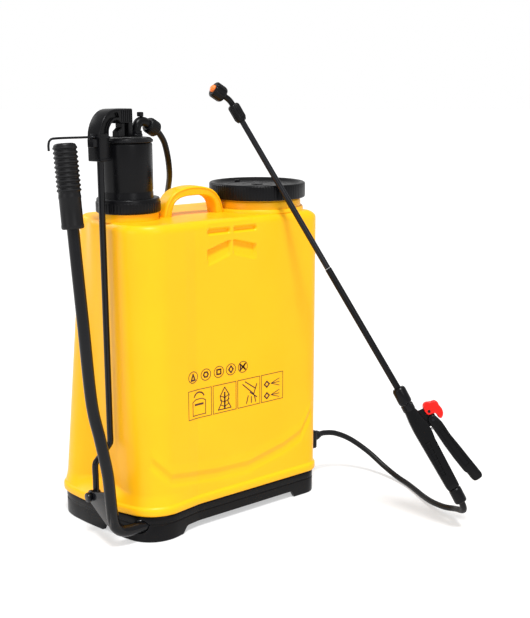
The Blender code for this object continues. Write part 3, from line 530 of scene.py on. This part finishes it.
def relief(x, z):
    """How far the front face stands out, in mm, at a place given in mm."""
    out = 0.0
    for left, right in zip(SWOOSH, SWOOSH[1:]):
        if left[0] <= x < right[0]:
            drop = z - slope(x, left, right)
            out += 2.2 * between(drop, 0, 400, 6) - 0.9 * between(drop, -14, -9, 4)
            out -= 2.2 * between(drop, 12, 400, 34)
    for top_a, top_b, low_a, low_b in GRIP_POCKETS:
        across = between(x, top_a[0] + 0.8, top_b[0] - 0.8, 1.2)
        up = between(z, slope(x, low_a, low_b), slope(x, top_a, top_b), 1.5)
        deep = 1 - 0.75 * min(1.0, max(0.0, (slope(x, top_a, top_b) - z) / 18))
        out -= 5.6 * across * up * deep
    for low, high in GRIP_SLOTS:
        out -= 4.4 * between(x, low, high, 1.0) * between(z, 383.2, 387.8, 1.1)
    out += 1.3 * between(x, -17, 50, 1.5) * between(z, 395.4, 399.0, 1.2)
    return out


def tank():
    """Blow-moulded tank: grooved body on a flared rim, both necks, hand arch and moulded relief."""
    levels = [(33, 1, -0.6), (33.6, 1, -1.6), (34.6, 1, -2.3), (36.5, 1, -2.6), (40, 1, -2.6),
              (42.2, 1, -2.4), (43.6, 1, -1.5), (44.4, 1, -0.6), (45.4, 0.96, 0), (47, 0.86, 0),
              (49, 0.70, 0), (52, 0.46, 0), (55, 0.24, 0), (58, 0.07, 0)]
    levels += [(60 + 1.5 * step, 0, 0) for step in range(int((SHOULDER - 60) / 1.5) + 1)]
    rings = []
    for z, flare, grow in levels:
        ring = inset(refined(tank_outline(z * MM, flare)), grow * MM)
        rings.append([(p.x, p.y - (relief(p.x / MM, z) * MM if p.y < FRONT_Y and p.x < FRONT_X else 0),
                       z * MM) for p in ring])
    top = refined(tank_outline(0.391, 0))
    for angle in range(10, 91, 10):
        drop, rise = 1 - math.cos(math.radians(angle)), math.sin(math.radians(angle))

        def shoulder(normal, drop=drop):
            return (7 + 15 * max(0.0, normal.x)) * drop * MM
        z = SHOULDER + 11 * rise
        rings.append([(p.x, p.y - (relief(p.x / MM, z) * MM * (1 - drop) if p.y < -0.070 else 0), z * MM)
                      for p in inset(top, shoulder)])
    middle, edge = Vector((0.02, 0.0)), [Vector((x, y)) for x, y, z in rings[-1]]
    for share in (0.93, 0.75, 0.45, 0.15):
        rings.append([(*middle.lerp(place, share), TANK_TOP) for place in edge])
    body = solid(skin(rings), None, 40)
    filler = lathe([(58.2, 399), (58.2, 411), (57.2, 413.6), (56, 414), (56, 426), (55, 427), (50, 427),
                    (50, 399)], turn(FILLER), bevel=0.4)
    ledge = lathe([(62, 399.4), (61.6, 403), (60.4, 404.6), (50, 404.6), (50, 399.4)], turn(FILLER),
                  bevel=0.6)
    neck = lathe([(37.2, 399), (37.2, 421), (34.6, 421), (34.6, 399)], turn(PUMP), bevel=0.4)
    finish_piece(together(body, filler, ledge, neck, hand_arch()), "tank_body", "tank", "tank_yellow",
                 "tank_shell")


def hand_arch():
    """Moulded carrying arch, fluted down both faces."""
    outer = [(46.4, 396), (45.2, 403), (44, 409), (42, 415), (38.8, 421), (34.4, 426.4), (29, 430.5),
             (22.5, 433.4), (15, 435.2), (7.5, 436.2), (0, 436.5)]
    inner = [(0, 424.8), (7, 424.7), (14, 424), (20, 422.6), (25, 420.2), (28.8, 416.8), (31.4, 412.4),
             (33, 406), (33.9, 399), (34.2, 396)]

    def both_sides(wide, drop, narrow, lift):
        """The arch mirrored about x = 1, with its two edges scaled and, above its feet, drawn together."""
        rim = [(x * wide, z - drop if z > 405 else z) for x, z in outer]
        low = [(x * narrow, z + lift if z > 405 else z) for x, z in inner]
        return ([(1 + x, z) for x, z in rim] + [(1 - x, z) for x, z in reversed(rim[:-1])]
                + [(1 - x, z) for x, z in reversed(low)] + [(1 + x, z) for x, z in low[1:]])
    where = turn((0, -0.018, 0), (0, -1, 0), (1, 0, 0))
    arch = slab(both_sides(1, 0, 1, 0), -12, 12, where, bevel=3.0, segments=4)
    flute = both_sides(0.945, 1.7, 1.10, 1.8)
    return carved(arch, slab(flute, 10.8, 14, where, bevel=0.4, segments=1),
                  slab(flute, -14, -10.8, where, bevel=0.4, segments=1))


def base_outline(z):
    """Plan of the base: it follows the rim and swells round the lever's bearing at its foot."""
    swell = 0.006 * (1 - z / 0.032)
    out = []
    for point in inset(refined(tank_outline(RIM_Z, 1)), 0.001):
        reach = point - COLUMN
        near = max(0.0, -reach.normalized().dot(Vector((0.75, 0.66)))) ** 2 if reach.length < 0.060 else 0.0
        out.append(point + reach.normalized() * swell * near)
    return out


def base():
    """Black tray under the tank, with raised arches between its feet and moulded ribs round it."""
    bands = [(0, 0.9), (0.7, 0.2), (1.6, 0), (10, 0), (20, 0), (20.6, 0.1), (21.2, 0.9), (22.6, 0.9),
             (23.2, 0.1), (23.8, 0), (29.6, 0), (30.6, 0.3), (31.6, 0.9), (32.2, 1.6)]
    rings = [[(p.x, p.y, z * MM) for p in inset(base_outline(z * MM), depth * MM)] for z, depth in bands]
    shell = solid(skin(rings), None, 35)
    hollow = inset(base_outline(0.032), 0.0055)
    inside = solid(skin([[(p.x, p.y, z) for p in hollow] for z in (-0.002, 0.0296)]))
    long_arch = slab([(-66, -3), (-57, 8.2), (-54, 9.6), (117, 9.6), (120, 8.2), (126, -3)], -130, 130,
                     turn((0, 0, 0), (0, -1, 0), (1, 0, 0)))
    side_arch = slab([(-50, -3), (-45, 9), (-17, 9), (-12, -3)], -220, 220,
                     turn((0, 0, 0), (1, 0, 0), (0, 1, 0)))
    hole = lathe([(0.01, 175), (8.7, 175), (8.7, 90), (0.01, 90)], turn((0, AXLE_Y, AXLE_Z), (-1, 0, 0)),
                 steps=40)
    tray = carved(shell, inside, long_arch, side_arch, hole)
    foot = lathe([(14, 30), (14, 0.6), (13.4, 0), (0.05, 0), (0.05, 30)], turn())
    finish_piece(together(tray, foot), "base_tray_body", "tank", "black_plastic", "base_tray")


# ---- printed panel ----------------------------------------------------------------------------
def ink_mark(points, width, closed):
    """A printed line on the front face through (x, z) points in mm, as a thin raised strip."""
    path = points + [points[0]] if closed else points
    bars = []
    for a, b in zip(path, path[1:]):
        along = Vector(b) - Vector(a)
        across = Vector((-along.y, along.x)).normalized() * width / 2
        reach = along.normalized() * width / 3
        count = max(1, round(along.length / 4))
        for k in range(count):
            start, end = Vector(a) + along * k / count - reach, Vector(a) + along * (k + 1) / count + reach
            corners = (start + across, end + across, end - across, start - across)
            bars.append(slab([tuple(c) for c in corners], 0.02, 0.28, PRINT_PLANE))
    return bars


PRINT_PLANE = turn((0, TANK_FRONT, 0), (0, -1, 0), (1, 0, 0))


def printed_panel():
    """Generic printed marks: five ringed signs over four framed drawings, with no lettering."""
    marks = []
    for i, x in enumerate((-43, -23, -3, 16, 35)):
        marks += ink_mark(arc(x, 205, 7.4, 0, 340, 17), 0.8, True)
        shape = [[(x - 3, 201), (x, 209), (x + 3, 201)], arc(x, 205, 3.6, 0, 300, 5),
                 [(x - 3, 202), (x - 3, 208), (x + 3, 208), (x + 3, 202)],
                 [(x, 200.6), (x + 3.4, 205), (x, 209.4), (x - 3.4, 205)],
                 [(x - 4, 201), (x + 4, 209), (x + 1, 205), (x + 4, 201), (x - 4, 209)]][i]
        marks += ink_mark(shape, 1.9, True)
    left, width, pitch = -51, 36.0, 38.8
    for i in range(4):
        x = left + i * pitch
        marks += ink_mark([(x, 150), (x + width, 150), (x + width, 187.5), (x, 187.5)], 0.7, True)
    tank_sign = [(7, 154), (7, 172), (12, 175), (22, 175), (27, 172), (27, 154)]
    marks += ink_mark([(left + x, z) for x, z in tank_sign], 0.9, True)
    marks += ink_mark([(left + x, z) for x, z in arc(17, 176, 8, 20, 160, 6)], 1.6, False)
    marks += ink_mark([(left + x, z) for x, z in ((11, 168), (23, 168))], 2.4, False)
    leaf = [(8, 154), (13, 163), (11, 172), (18, 183), (25, 172), (23, 163), (28, 154)]
    marks += ink_mark([(left + pitch + x, z) for x, z in leaf], 1.2, True)
    marks += ink_mark([(left + pitch + x, z) for x, z in ((18, 154), (18, 176))], 2.2, False)
    for z in (157, 163, 169):
        marks += ink_mark([(left + pitch + x, z + abs(x - 18) * 0.5) for x in (11, 18, 25)], 1.0, False)
    spray = [((8, 181), (26, 165)), ((12, 184), (29, 172)), ((22, 162), (22, 154)), ((27, 163), (29, 154)),
             ((17, 164), (14, 154)), ((26, 165), (31, 178)), ((20, 168), (31, 160))]
    for a, b in spray:
        marks += ink_mark([(left + 2 * pitch + a[0], a[1]), (left + 2 * pitch + b[0], b[1])], 1.3, False)
    for z in (158, 174):
        diamond = ((5, 0), (9, 4), (13, 0), (9, -4))
        marks += ink_mark([(left + 3 * pitch + x, z + rise) for x, rise in diamond], 1.8, True)
        for rise in (-5, 0, 5):
            marks += ink_mark([(left + 3 * pitch + 16, z), (left + 3 * pitch + 30, z + rise)], 0.8, False)
    panel = together(*marks)
    for point in panel.data.vertices:
        point.co.y -= 0.0025 * max(0.0, (-0.036 - point.co.x) / 0.016)
    finish_piece(panel, "printed_panel", "tank", "ink", slot="black_plastic")


# ---- pump -------------------------------------------------------------------------------------
def pump():
    """Ribbed clamp nut, the outside air chamber with its cap, and the outlet elbow."""
    nut = lathe([(36.6, 427.0), (38.2, 426.8), (39.0, 425.6), (39.0, 423.4), (39.7, 422.6), (39.9, 421.6),
                 (39.9, 411.2), (39.5, 409.8), (38.4, 409.3), (37.6, 409.3), (37.6, 425.5), (32.4, 425.5),
                 (32.4, 427.0)], turn(PUMP), ribs=60, depth=0.55, ribbed=(410.5, 422.2, 39), sharp=50)
    finish_piece(nut, "pump_clamp_nut", "pump_nut", "black_plastic", "ring_nut")
    chamber = lathe([(28.5, 494), (30.4, 493.6), (31.2, 492.6), (31.5, 491), (31.5, 437), (31.1, 436),
                     (31.1, 434.4), (31.5, 433.4), (31.5, 190), (6, 190), (6, 193), (28.7, 193), (28.7, 491),
                     (5, 491), (5, 494)], turn(PUMP), steps=80)
    finish_piece(chamber, "air_chamber_body", "pump", "black_plastic", "air_chamber")
    cap = lathe([(22, 499.2), (23, 500), (28.4, 500), (30, 499.5), (31, 498.6), (31.4, 497.8), (32.2, 497.6),
                 (32.5, 497.2), (32.5, 495.0), (32.0, 494.4), (5, 494.4), (5, 499.2)], turn(PUMP), ribs=72,
                depth=0.3, ribbed=(495, 497.4, 32), sharp=50)
    finish_piece(cap, "chamber_top", "pump", "black_plastic", "chamber_cap")
    foot = PUMP + Vector((0.014, 0, 0))
    rise = [(0, 0, 500.4), (0, 0, 508), (1.5, 0, 514), (6, 1, 518), (12, 1.5, 518), (17, 2.5, 515.5)]
    bend = sweep(smooth_route([foot + Vector(step) * MM for step in rise], 0.0015), 0.006, sides=32)
    ring = lathe([(8, 504), (8, 500.4), (0.05, 500.4), (0.05, 504)], turn(foot), bevel=0.6, steps=32)
    hexagon = slab(arc(0, 0, 8.4, 0, 300, 5), 504, 507.5, turn(foot), bevel=0.5, segments=2)
    finish_piece(together(bend, ring, hexagon), "outlet_bend", "pump", "black_plastic", "outlet_elbow")
    screw = lathe([(0.6, 530), (3.4, 530), (4.0, 529.3), (4.0, 525.2), (3.4, 524.4), (0.6, 524.4)],
                  turn(foot + Vector((7, 1, 0)) * MM), ribs=12, depth=0.3, ribbed=(525, 529.4, 3.9))
    finish_piece(screw, "bleed_cap", "pump", "black_plastic", "bleed_screw")
    clamp = lathe([(4.2, 17), (7.6, 17), (8.8, 16.2), (9.9, 14.6), (9.9, 3), (9.2, 1.2), (8, 0), (5, 0)],
                  turn(HOSE_NUT_FOOT, HOSE_NUT_AXIS), ribs=22, depth=0.6, ribbed=(2, 15, 9))
    finish_piece(clamp, "hose_clamp_nut", "pump", "black_plastic", "hose_nut")


# local X from the pump's axis towards the rod, local Y up
BRACKET_PLANE = turn(PUMP, BRACKET_U.cross(Vector((0, 0, 1))), BRACKET_U)


def bracket():
    """Goose neck from the chamber's top over to the rod: recessed web, ribbed block, stay and hook boss."""
    plane = BRACKET_PLANE
    outer = [(40, 474), (57, 474), (57, 503), (56.4, 508.5), (55, 513), (52.9, 517.8), (50, 522),
             (46.8, 525.8), (43, 529), (38.8, 531.6), (34, 533.4), (29, 534.3), (24, 534.6), (-4, 534.5)]
    inner = [(-4, 500.4), (3.5, 500.4), (3.5, 517), (18, 517), (20.3, 519), (23, 520.7), (26.5, 521.2),
             (30, 520.5), (33.4, 518.8), (36, 516), (38.3, 513.2), (39.5, 510), (40, 503)]
    arm = slab(outer + inner, -8, 12, plane, bevel=1.4, segments=3)
    pocket = [(42.5, 506), (54.3, 506), (52, 513), (47.5, 519.5), (41.5, 525.5), (33.5, 530), (24, 531),
              (21, 524.5), (31, 524), (38, 519), (42, 511.5)]
    channel = [(42.3, 470), (53.6, 470), (53.6, 502.5), (42.3, 502.5)]
    carved(arm, slab(pocket, -10, -5, plane, bevel=0.5, segments=1),
           slab(pocket, 7.5, 14, plane, bevel=0.5, segments=1), slab(channel, -4.9, 14, plane))
    stay = slab([(8, 500.4), (20, 500.4), (20, 508), (14, 512), (14, 519), (8, 519)], -5, 5, plane, bevel=0.8)
    boss = slab([(55, 491), (65, 491), (65, 501), (55, 501)], -5, 5, plane, bevel=1.0)
    ribs = [slab([(x, 518.6), (x + 1.7, 518.6), (x + 1.7, 533.2), (x, 533.2)], -8.7, 12.6, plane, bevel=0.4)
            for x in (-2.8, 0.8, 4.4, 8, 11.6, 15.2)]
    collars = [slab([(39.2, z), (57.8, z), (57.8, z + 3), (39.2, z + 3)], -8.8, 3.5, plane, bevel=0.7)
               for z in (474.4, 500.5)]
    finish_piece(together(arm, stay, boss, *ribs, *[carved(c, slab(channel, -4.9, 14, plane))
                                                     for c in collars]),
                 "goose_neck_arm", "pump", "black_plastic", "goose_neck")


def hook():
    """Bent wire hook over the lever's top, with its eye round the pivot."""
    pivot = PUMP + BRACKET_U * 0.0615
    reach = -0.198
    route = [(pivot.x - 0.0026, pivot.y, 0.503), (pivot.x - 0.012, pivot.y, 0.503),
             (reach + 0.009, pivot.y, 0.503), (reach + 0.002, pivot.y, 0.501), (reach, pivot.y, 0.496),
             (reach, pivot.y, 0.489)]
    wire = sweep(smooth_route(route, 0.0015), 0.0014, sides=16)
    eye = lathe([(4.2, 504.4), (4.2, 501.6), (2.0, 501.6), (2.0, 504.4)], turn(pivot), bevel=0.9, steps=40)
    finish_piece(together(wire, eye), "wire_hook_bent", "hook", "black_steel", "wire_hook")


# ---- lid --------------------------------------------------------------------------------------
def lid():
    """Screw lid with a fine-ribbed skirt, a raised rim and a dished top."""
    top = lathe([(6.2, 432.3), (30, 431.9), (52, 431.9), (55.6, 432.4), (57.2, 434.2), (58.8, 435.6),
                 (61, 436), (62.8, 435.7), (64.0, 434.8), (64.3, 433.6), (64.3, 418.0), (64.0, 416.6),
                 (63.2, 416), (58.5, 416), (58.5, 430.7), (6.2, 430.7)], turn(FILLER), ribs=100, depth=0.35,
                ribbed=(417.4, 434.0, 64.1), sharp=50)
    rings = [lathe([(r, 432.4), (r + 1.0, 432.3), (r + 1.4, 431.6), (r - 0.4, 431.6)], turn(FILLER))
             for r in (20, 40)]
    nub = slab([(-4, -2), (4, -2), (3, 2), (-3, 2)], 431.5, 434.4, turn(FILLER + Vector((0, 0.046, 0))),
               bevel=0.8)
    finish_piece(together(top, *rings, nub), "screw_lid", "lid", "black_plastic", "lid")
    vent = lathe([(0.1, 433.4), (6.6, 433.4), (7.8, 433.1), (8, 432.6), (5.6, 432.5), (5.6, 427), (0.1, 427)],
                 turn(FILLER), steps=40)
    finish_piece(vent, "lid_vent_button", "lid", "black_plastic", "lid_vent")


# ---- lever and rod ----------------------------------------------------------------------------
def lever():
    """Bent steel tube from the axle up the tank's left side, the crank plate and the ribbed grip."""
    low = [Vector((x, AXLE_Y, AXLE_Z)) for x in (-0.060, -0.090, -0.122)]
    bend_r = 0.022
    bend = [Vector((-0.133 - bend_r * math.sin(t), AXLE_Y, AXLE_Z + bend_r * (1 - math.cos(t))))
            for t in (0, math.pi / 6, math.pi / 3, math.pi / 2)]
    rise = metres([(-157, -72.6, 60), (-160, -73, 97), (-163, -70.5, 122), (-166, -67, 146),
                   (-171.5, -60, 191), (-175, -54, 282), (-177, -42.6, 392), (-177, -30.5, 486)])
    bar = sweep(smooth_route(low + bend + rise, 0.004), LEVER_R, sides=36)
    plate = [(-79, 32), (-65, 32), *arc(CRANK_Y / MM, CRANK_Z / MM, 8.5, -60, 120, 16), (-64, 74), (-78, 74)]
    crank = carved(slab(plate, -161, -157.5, turn((0, 0, 0), (1, 0, 0), (0, 1, 0)), bevel=0.5),
                   lathe([(0.01, 170), (4.3, 170), (4.3, 150), (0.01, 150)],
                         turn((0, CRANK_Y, CRANK_Z), (-1, 0, 0)), steps=40))
    finish_piece(together(bar, crank), "lever_bar", "lever", "black_steel", "lever_tube")
    profile = [(2, 11), (9.6, 11), (12.0, 10.2), (13.2, 8.6)]
    for ring in range(10):
        z = 7.2 - ring * 5.4
        profile += [(13.4, z), (14.1, z - 0.5), (14.4, z - 1.5), (14.1, z - 2.5), (13.1, z - 3.1),
                    (12.7, z - 4.3)]
    profile += [(13.0, -48.2), (13.25, -50), (13.25, -52), (12.9, -53), (12.9, -82), (13.3, -83.4),
                (13.3, -86), (12.4, -87.6), (11, -88), (7.9, -88), (7.9, 4), (2, 4)]
    grip = lathe(profile, turn(rise[-1], rise[-1] - rise[-2]), steps=48)
    finish_piece(grip, "lever_handgrip", "lever", "black_rubber", "lever_grip")
    pin = lathe([(0.1, 21.2), (3.4, 21.2), (4, 20.6), (4, 5.8), (6.0, 5.8), (6.3, 5.2), (6.3, 2.6),
                 (5.6, 1.2), (4.4, 0.8), (0.1, 0.8)], turn((-0.168, CRANK_Y, CRANK_Z), (1, 0, 0)),
                steps=40)
    finish_piece(pin, "crank_rivet", "lever", "black_steel", "crank_pin", slot="bright_steel")


def rod():
    """Connecting rod with a joggle that carries its flattened lower eye outside the rim."""
    y = CRANK_Y
    joggle = [(ROD_LOW_X, y, CRANK_Z + 0.005), (ROD_LOW_X, y, 0.080), (ROD_LOW_X, y, 0.096),
              (ROD_LOW_X + 0.003, y, 0.102), (ROD_X - 0.003, y, 0.118), (ROD_X, y, 0.124), (ROD_X, y, 0.140),
              (ROD_X, y, 0.220), (ROD_X, y, 0.300), (ROD_X, y, 0.400), (ROD_X, y, ROD_TOP)]
    bar = sweep(smooth_route(joggle, 0.003), ROD_R, sides=28)
    eye = lathe([(7.6, 4), (7.6, -4), (4.3, -4), (4.3, 4)], turn((ROD_LOW_X, y, CRANK_Z), (1, 0, 0)),
                bevel=0.8, steps=48)
    finish_piece(together(bar, eye), "pump_rod", "rod", "black_steel", "connecting_rod")


# ---- spray gun and lance ----------------------------------------------------------------------
GUN_PLANE = turn(GUN_FOOT, GUN_NORMAL, GUN_SIDE)
TRIGGER_PIN = (20.5, 103.5)       # in the gun's plane, in mm: towards the trigger, along the axis


def gun():
    """Moulded spray gun with grooved cheeks, hose nut, bent hose tail and lance nut."""
    plane = GUN_PLANE
    body = [(-4.4, 12.6), (10.4, 12.6), (11.7, 14.4), (12, 20), (12, 82), (12.6, 86), (13, 90), (13, 106),
            (11, 110), (9.6, 117), (8.5, 124), (7, 128), (7, 136.6), (-7, 136.6), (-7, 126), (-8.2, 112),
            (-8.5, 100), (-8.2, 92), (-5.4, 30), (-4.9, 18)]
    grip = slab(body, -7.5, 7.5, plane, bevel=2.4, segments=4)
    lug = slab([(9, 97), (20, 97), (24, 98.4), (26, 101), (26, 118), (24.4, 120.4), (21, 121), (6, 122)],
               -2.2, 2.2, plane, bevel=0.6)
    groove = [(-2.5, 34), (2.5, 34), (3.5, 82), (-2.5, 82)]
    carved(grip, slab(groove, -9, -6.2, plane, bevel=0.4, segments=1),
           slab(groove, 6.2, 9, plane, bevel=0.4, segments=1))
    ribs = [slab([(-2.6, y), (3.4, y), (3.4, y + 1.4), (-2.6, y + 1.4)], -7.2, 7.2, plane, bevel=0.3)
            for y in range(39, 80, 8)]
    barrel = lathe([(7.4, 136.6), (8.2, 135.8), (8.2, 128), (7.6, 127), (0.05, 127), (0.05, 136.6)],
                   turn(GUN_FOOT, GUN_AXIS), steps=40)
    finish_piece(together(grip, lug, barrel, *ribs), "gun_grip", "gun", "black_plastic", "gun_body")
    hose_nut = [(4.9, 12.2), (7, 12.2), (8, 11), (8.2, 9.8), (8.2, -5.6), (7.6, -7.2), (6.8, -8), (4.9, -8)]
    lance_nut = [(5.4, 159.5), (7.2, 159.5), (8.2, 158), (8.8, 156), (8.8, 139.8), (8, 137.6), (5.4, 137.1)]
    for name, foot, profile, ribbed, stands_for in (
            ("gun_hose_clamp", HOSE_SOCKET, hose_nut, (-5, 9.5, 8.1), "gun_hose_nut"),
            ("gun_lance_clamp", GUN_FOOT, lance_nut, (140.5, 155.6, 8.7), "gun_lance_nut")):
        clamp = lathe(profile, turn(foot, GUN_AXIS), ribs=20, depth=0.5, ribbed=ribbed)
        finish_piece(clamp, name, "gun", "black_plastic", stands_for)
    centre = HOSE_SOCKET - GUN_AXIS * TAIL_DROP + TAIL_AXIS * TAIL_BEND
    bend = [centre - (GUN_AXIS * math.sin(t) + TAIL_AXIS * math.cos(t)) * TAIL_BEND
            for t in (0, math.pi / 6, math.pi / 3, math.pi / 2)]
    route = smooth_route([HOSE_SOCKET + GUN_AXIS * 0.006, HOSE_SOCKET - GUN_AXIS * 0.002, *bend, tail_end()],
                         0.0012)
    finish_piece(sweep(route, 0.0042, sides=28), "gun_hose_tail", "gun", "black_rubber", "hose_tail")


def trigger():
    """Long squeeze lever with recessed cheeks, and the red lock above it."""
    plane = GUN_PLANE
    blade = [*arc(*TRIGGER_PIN, 6.3, 20, 200, 12), (15.3, 96.5), (15.9, 90), (16.5, 85), (18.5, 67),
             (21.6, 46.7), (25.4, 27), (26.2, 24.6), (27.6, 23.4), (28.8, 18), (29.4, 14), (30.4, 10.8),
             (32, 9), (35, 8.6), (38.5, 8.8), (41.8, 9.6), (43.6, 11.4), (44.2, 14.5), (42.4, 24),
             (39.9, 36.2), (35.4, 59.5), (31.9, 76), (31.2, 81.6), (30.4, 90), (29.5, 96.5)]
    hand = slab(blade, -6, 6, plane, bevel=1.7, segments=3)
    window = [(20.2, 88), (26.6, 88), (31.6, 60), (36.4, 33), (29.2, 31), (24, 60)]
    slot_shape = [(0, 96), (22.5, 96), (29.4, 99), (29.4, 125), (0, 125)]
    carved(hand, slab(window, 4.9, 8, plane, bevel=0.4, segments=1),
           slab(window, -8, -4.9, plane, bevel=0.4, segments=1), slab(slot_shape, -2.7, 2.7, plane))
    finish_piece(hand, "trigger_lever", "trigger", "black_plastic", "trigger")
    lobes = [(17.2, 123.2), (16.4, 121), (16.2, 118), (16.8, 113.5), (18, 111.6), (20, 110.9),
             (24.4, 110.6), (26.8, 110), (28, 108.2), (28.4, 105.8), (28.6, 103.6), (29, 101.6),
             (30, 100.6), (31.4, 100.4), (32.6, 100.9), (35, 103), (36.5, 105.6), (37.2, 108.6),
             (37.4, 111.2), (36.7, 114.6), (36.2, 117.2), (36.4, 120), (36, 121.9), (35.2, 123.5),
             (33.8, 124.5), (30.4, 124.8), (27, 125.7), (24, 127), (20.8, 127), (18.6, 125.6)]
    lock = carved(slab(lobes, -6, 6, plane, bevel=1.6, segments=4),
                  slab([(0, 100), (28, 100), (28, 130), (0, 130)], -2.7, 2.7, plane))
    finish_piece(lock, "lock_button", "lock", "red_plastic", "trigger_lock")


def lance():
    """Long thin lance: sleeved lower half, glossy upper tube, nozzle nut, elbow and tipped nozzle."""
    along = turn(LANCE_FOOT, LANCE_AXIS)
    sleeve = lathe([(LANCE_R / MM + 0.2, 188), (4.3, 187), (4.3, -8), (4.0, -9), (0.05, -9), (0.05, 188)],
                   along, steps=40)
    finish_piece(sleeve, "lance_grip_sleeve", "lance", "black_plastic", "lance_sleeve")
    tube = lathe([(3.8, 424), (3.8, 188.3), (0.05, 188.3), (0.05, 424)], along, steps=40)
    finish_piece(tube, "lance_upper_tube", "lance", "black_steel", "lance_tube", slot="black_plastic")
    nut = lathe([(4.2, 430), (6.2, 430), (7.2, 429), (7.7, 427.4), (7.7, 411), (7.0, 408.6), (6, 406.4),
                 (4.2, 406)], along, ribs=16, depth=0.55, ribbed=(410, 428, 7.6))
    finish_piece(nut, "lance_end_nut", "lance", "black_plastic", "lance_nut")
    start = LANCE_FOOT + LANCE_AXIS * 0.4246
    corner = start + LANCE_AXIS * 0.013
    bend = [start, start + LANCE_AXIS * 0.008, corner + (NOZZLE_AXIS - LANCE_AXIS) * 0.0015,
            corner + NOZZLE_AXIS * 0.005, corner + NOZZLE_AXIS * 0.018]
    finish_piece(sweep(smooth_route(bend, 0.001), LANCE_R, sides=28), "nozzle_bend", "lance", "black_plastic",
                 "nozzle_elbow")
    mouth = turn(corner + NOZZLE_AXIS * 0.010, NOZZLE_AXIS)
    cap = lathe([(5.4, 16.2), (6.2, 17), (8.6, 17), (9.8, 16.2), (10.3, 15), (10.3, 4), (9.8, 1.8),
                 (8.8, 0.4), (7.8, 0), (4.3, 0), (4.3, 9), (5.4, 9)], mouth, ribs=14, depth=0.8,
                ribbed=(2.5, 15.5, 10))
    finish_piece(cap, "nozzle_knob", "nozzle", "black_plastic", "nozzle_cap")
    tip = lathe([(0.7, 20.5), (2.4, 20.4), (3.4, 19.9), (4.4, 18.9), (5, 17.6), (5, 9.4), (0.7, 9.4)], mouth,
                steps=40)
    finish_piece(tip, "nozzle_orange_tip", "nozzle", "orange_plastic", "nozzle_tip")


# ---- harness ----------------------------------------------------------------------------------
def band(spine, width, thick, crown=0.0, edge=0.0):
    """A band along a spine with its width along X. crown swells its middle; edge rolls its borders."""
    rings = []
    for i, place in enumerate(spine):
        tangent = (spine[min(len(spine) - 1, i + 1)] - spine[max(0, i - 1)]).normalized()
        across = Vector((1, 0, 0))
        across = (across - tangent * across.dot(tangent)).normalized()
        out = tangent.cross(across)
        t = i / (len(spine) - 1)
        end = 1.0 if not crown else min(1.0, math.sqrt(max(0.0, 1 - abs(2 * t - 1) ** 10)) + 0.02)
        ring = []
        for k in range(28):
            a = 2 * math.pi * k / 28
            c, s = math.cos(a), math.sin(a)
            x = math.copysign(abs(c) ** 0.35, c) * width / 2 * end
            bulge = thick / 2 + crown * (1 - (2 * x / width) ** 2)
            groove = edge * math.exp(-((abs(2 * x / width) - 0.82) / 0.05) ** 2)
            rise = math.copysign(abs(s) ** 0.45, s) * max(0.0004, bulge - groove) * end
            ring.append(place + across * x + out * rise)
        rings.append(ring)
    return solid(skin(rings), None, 60)


def harness():
    """Two shoulder straps in loose loops behind the tank, with pads, anchors and lower hooks."""
    back = turn((0, TANK_BACK, 0), (0, -1, 0), (1, 0, 0))
    for side, sign in (("left", -1), ("right", 1)):
        top, low = sign * 56, sign * 88
        run = [(top, 90, 385), (top, 99, 390), (top, 111, 388), (top, 122, 372), (top * 1.03, 129, 340),
               (top * 1.08, 132, 290), (top * 1.16, 128, 230), (top * 1.32, 118, 160), (low * 0.96, 106, 100),
               (low, 101, 68), (low, 96, 40), (low, 94.6, 14)]
        spine = smooth_route(metres(run), 0.003)
        finish_piece(band(spine, 0.034, 0.0019), "webbing_" + side, "tank", "webbing", "strap_" + side)
        coarse = smooth_route(metres(run), 0.016)
        pad_line = smooth_route([place - Vector((0, 0.0066, 0)) for place in coarse[7:19]], 0.003)
        pad = band(pad_line, 0.052, 0.0062, crown=0.0014, edge=0.0011)
        finish_piece(pad, "shoulder_pad_" + side, "tank", "webbing", "strap_pad_" + side)
        plate = slab([(top - 22, 372), (top + 22, 372), (top + 22, 388), (top - 22, 388)], -3.4, -0.4,
                     back, bevel=1.0)
        finish_piece(plate, "anchor_plate_" + side, "tank", "black_plastic", "strap_anchor_" + side)
        buckle = slab([(low - 21, 8), (low + 21, 8), (low + 21, 31), (low - 21, 31)], -7.4, -0.4,
                      back, bevel=2.0, segments=4)
        finish_piece(buckle, "lower_hook_" + side, "tank", "black_plastic", "strap_hook_" + side)


def carried_over():
    """Every CAD node, replaced or not, gets the procedural material of its record slot."""
    slots = {entry["node"]: entry["material_slot"] for entry in frame["record"]["subparts"]}
    for name, obj in frame["nodes"].items():
        obj.data.materials.clear()
        obj.data.materials.append(LOOKS[slots[name]])


for build in (studio, hose, tank, base, printed_panel, pump, bracket, hook, lid, lever, rod, gun, trigger,
              lance, harness, carried_over):
    build()
bpy.context.view_layer.update()
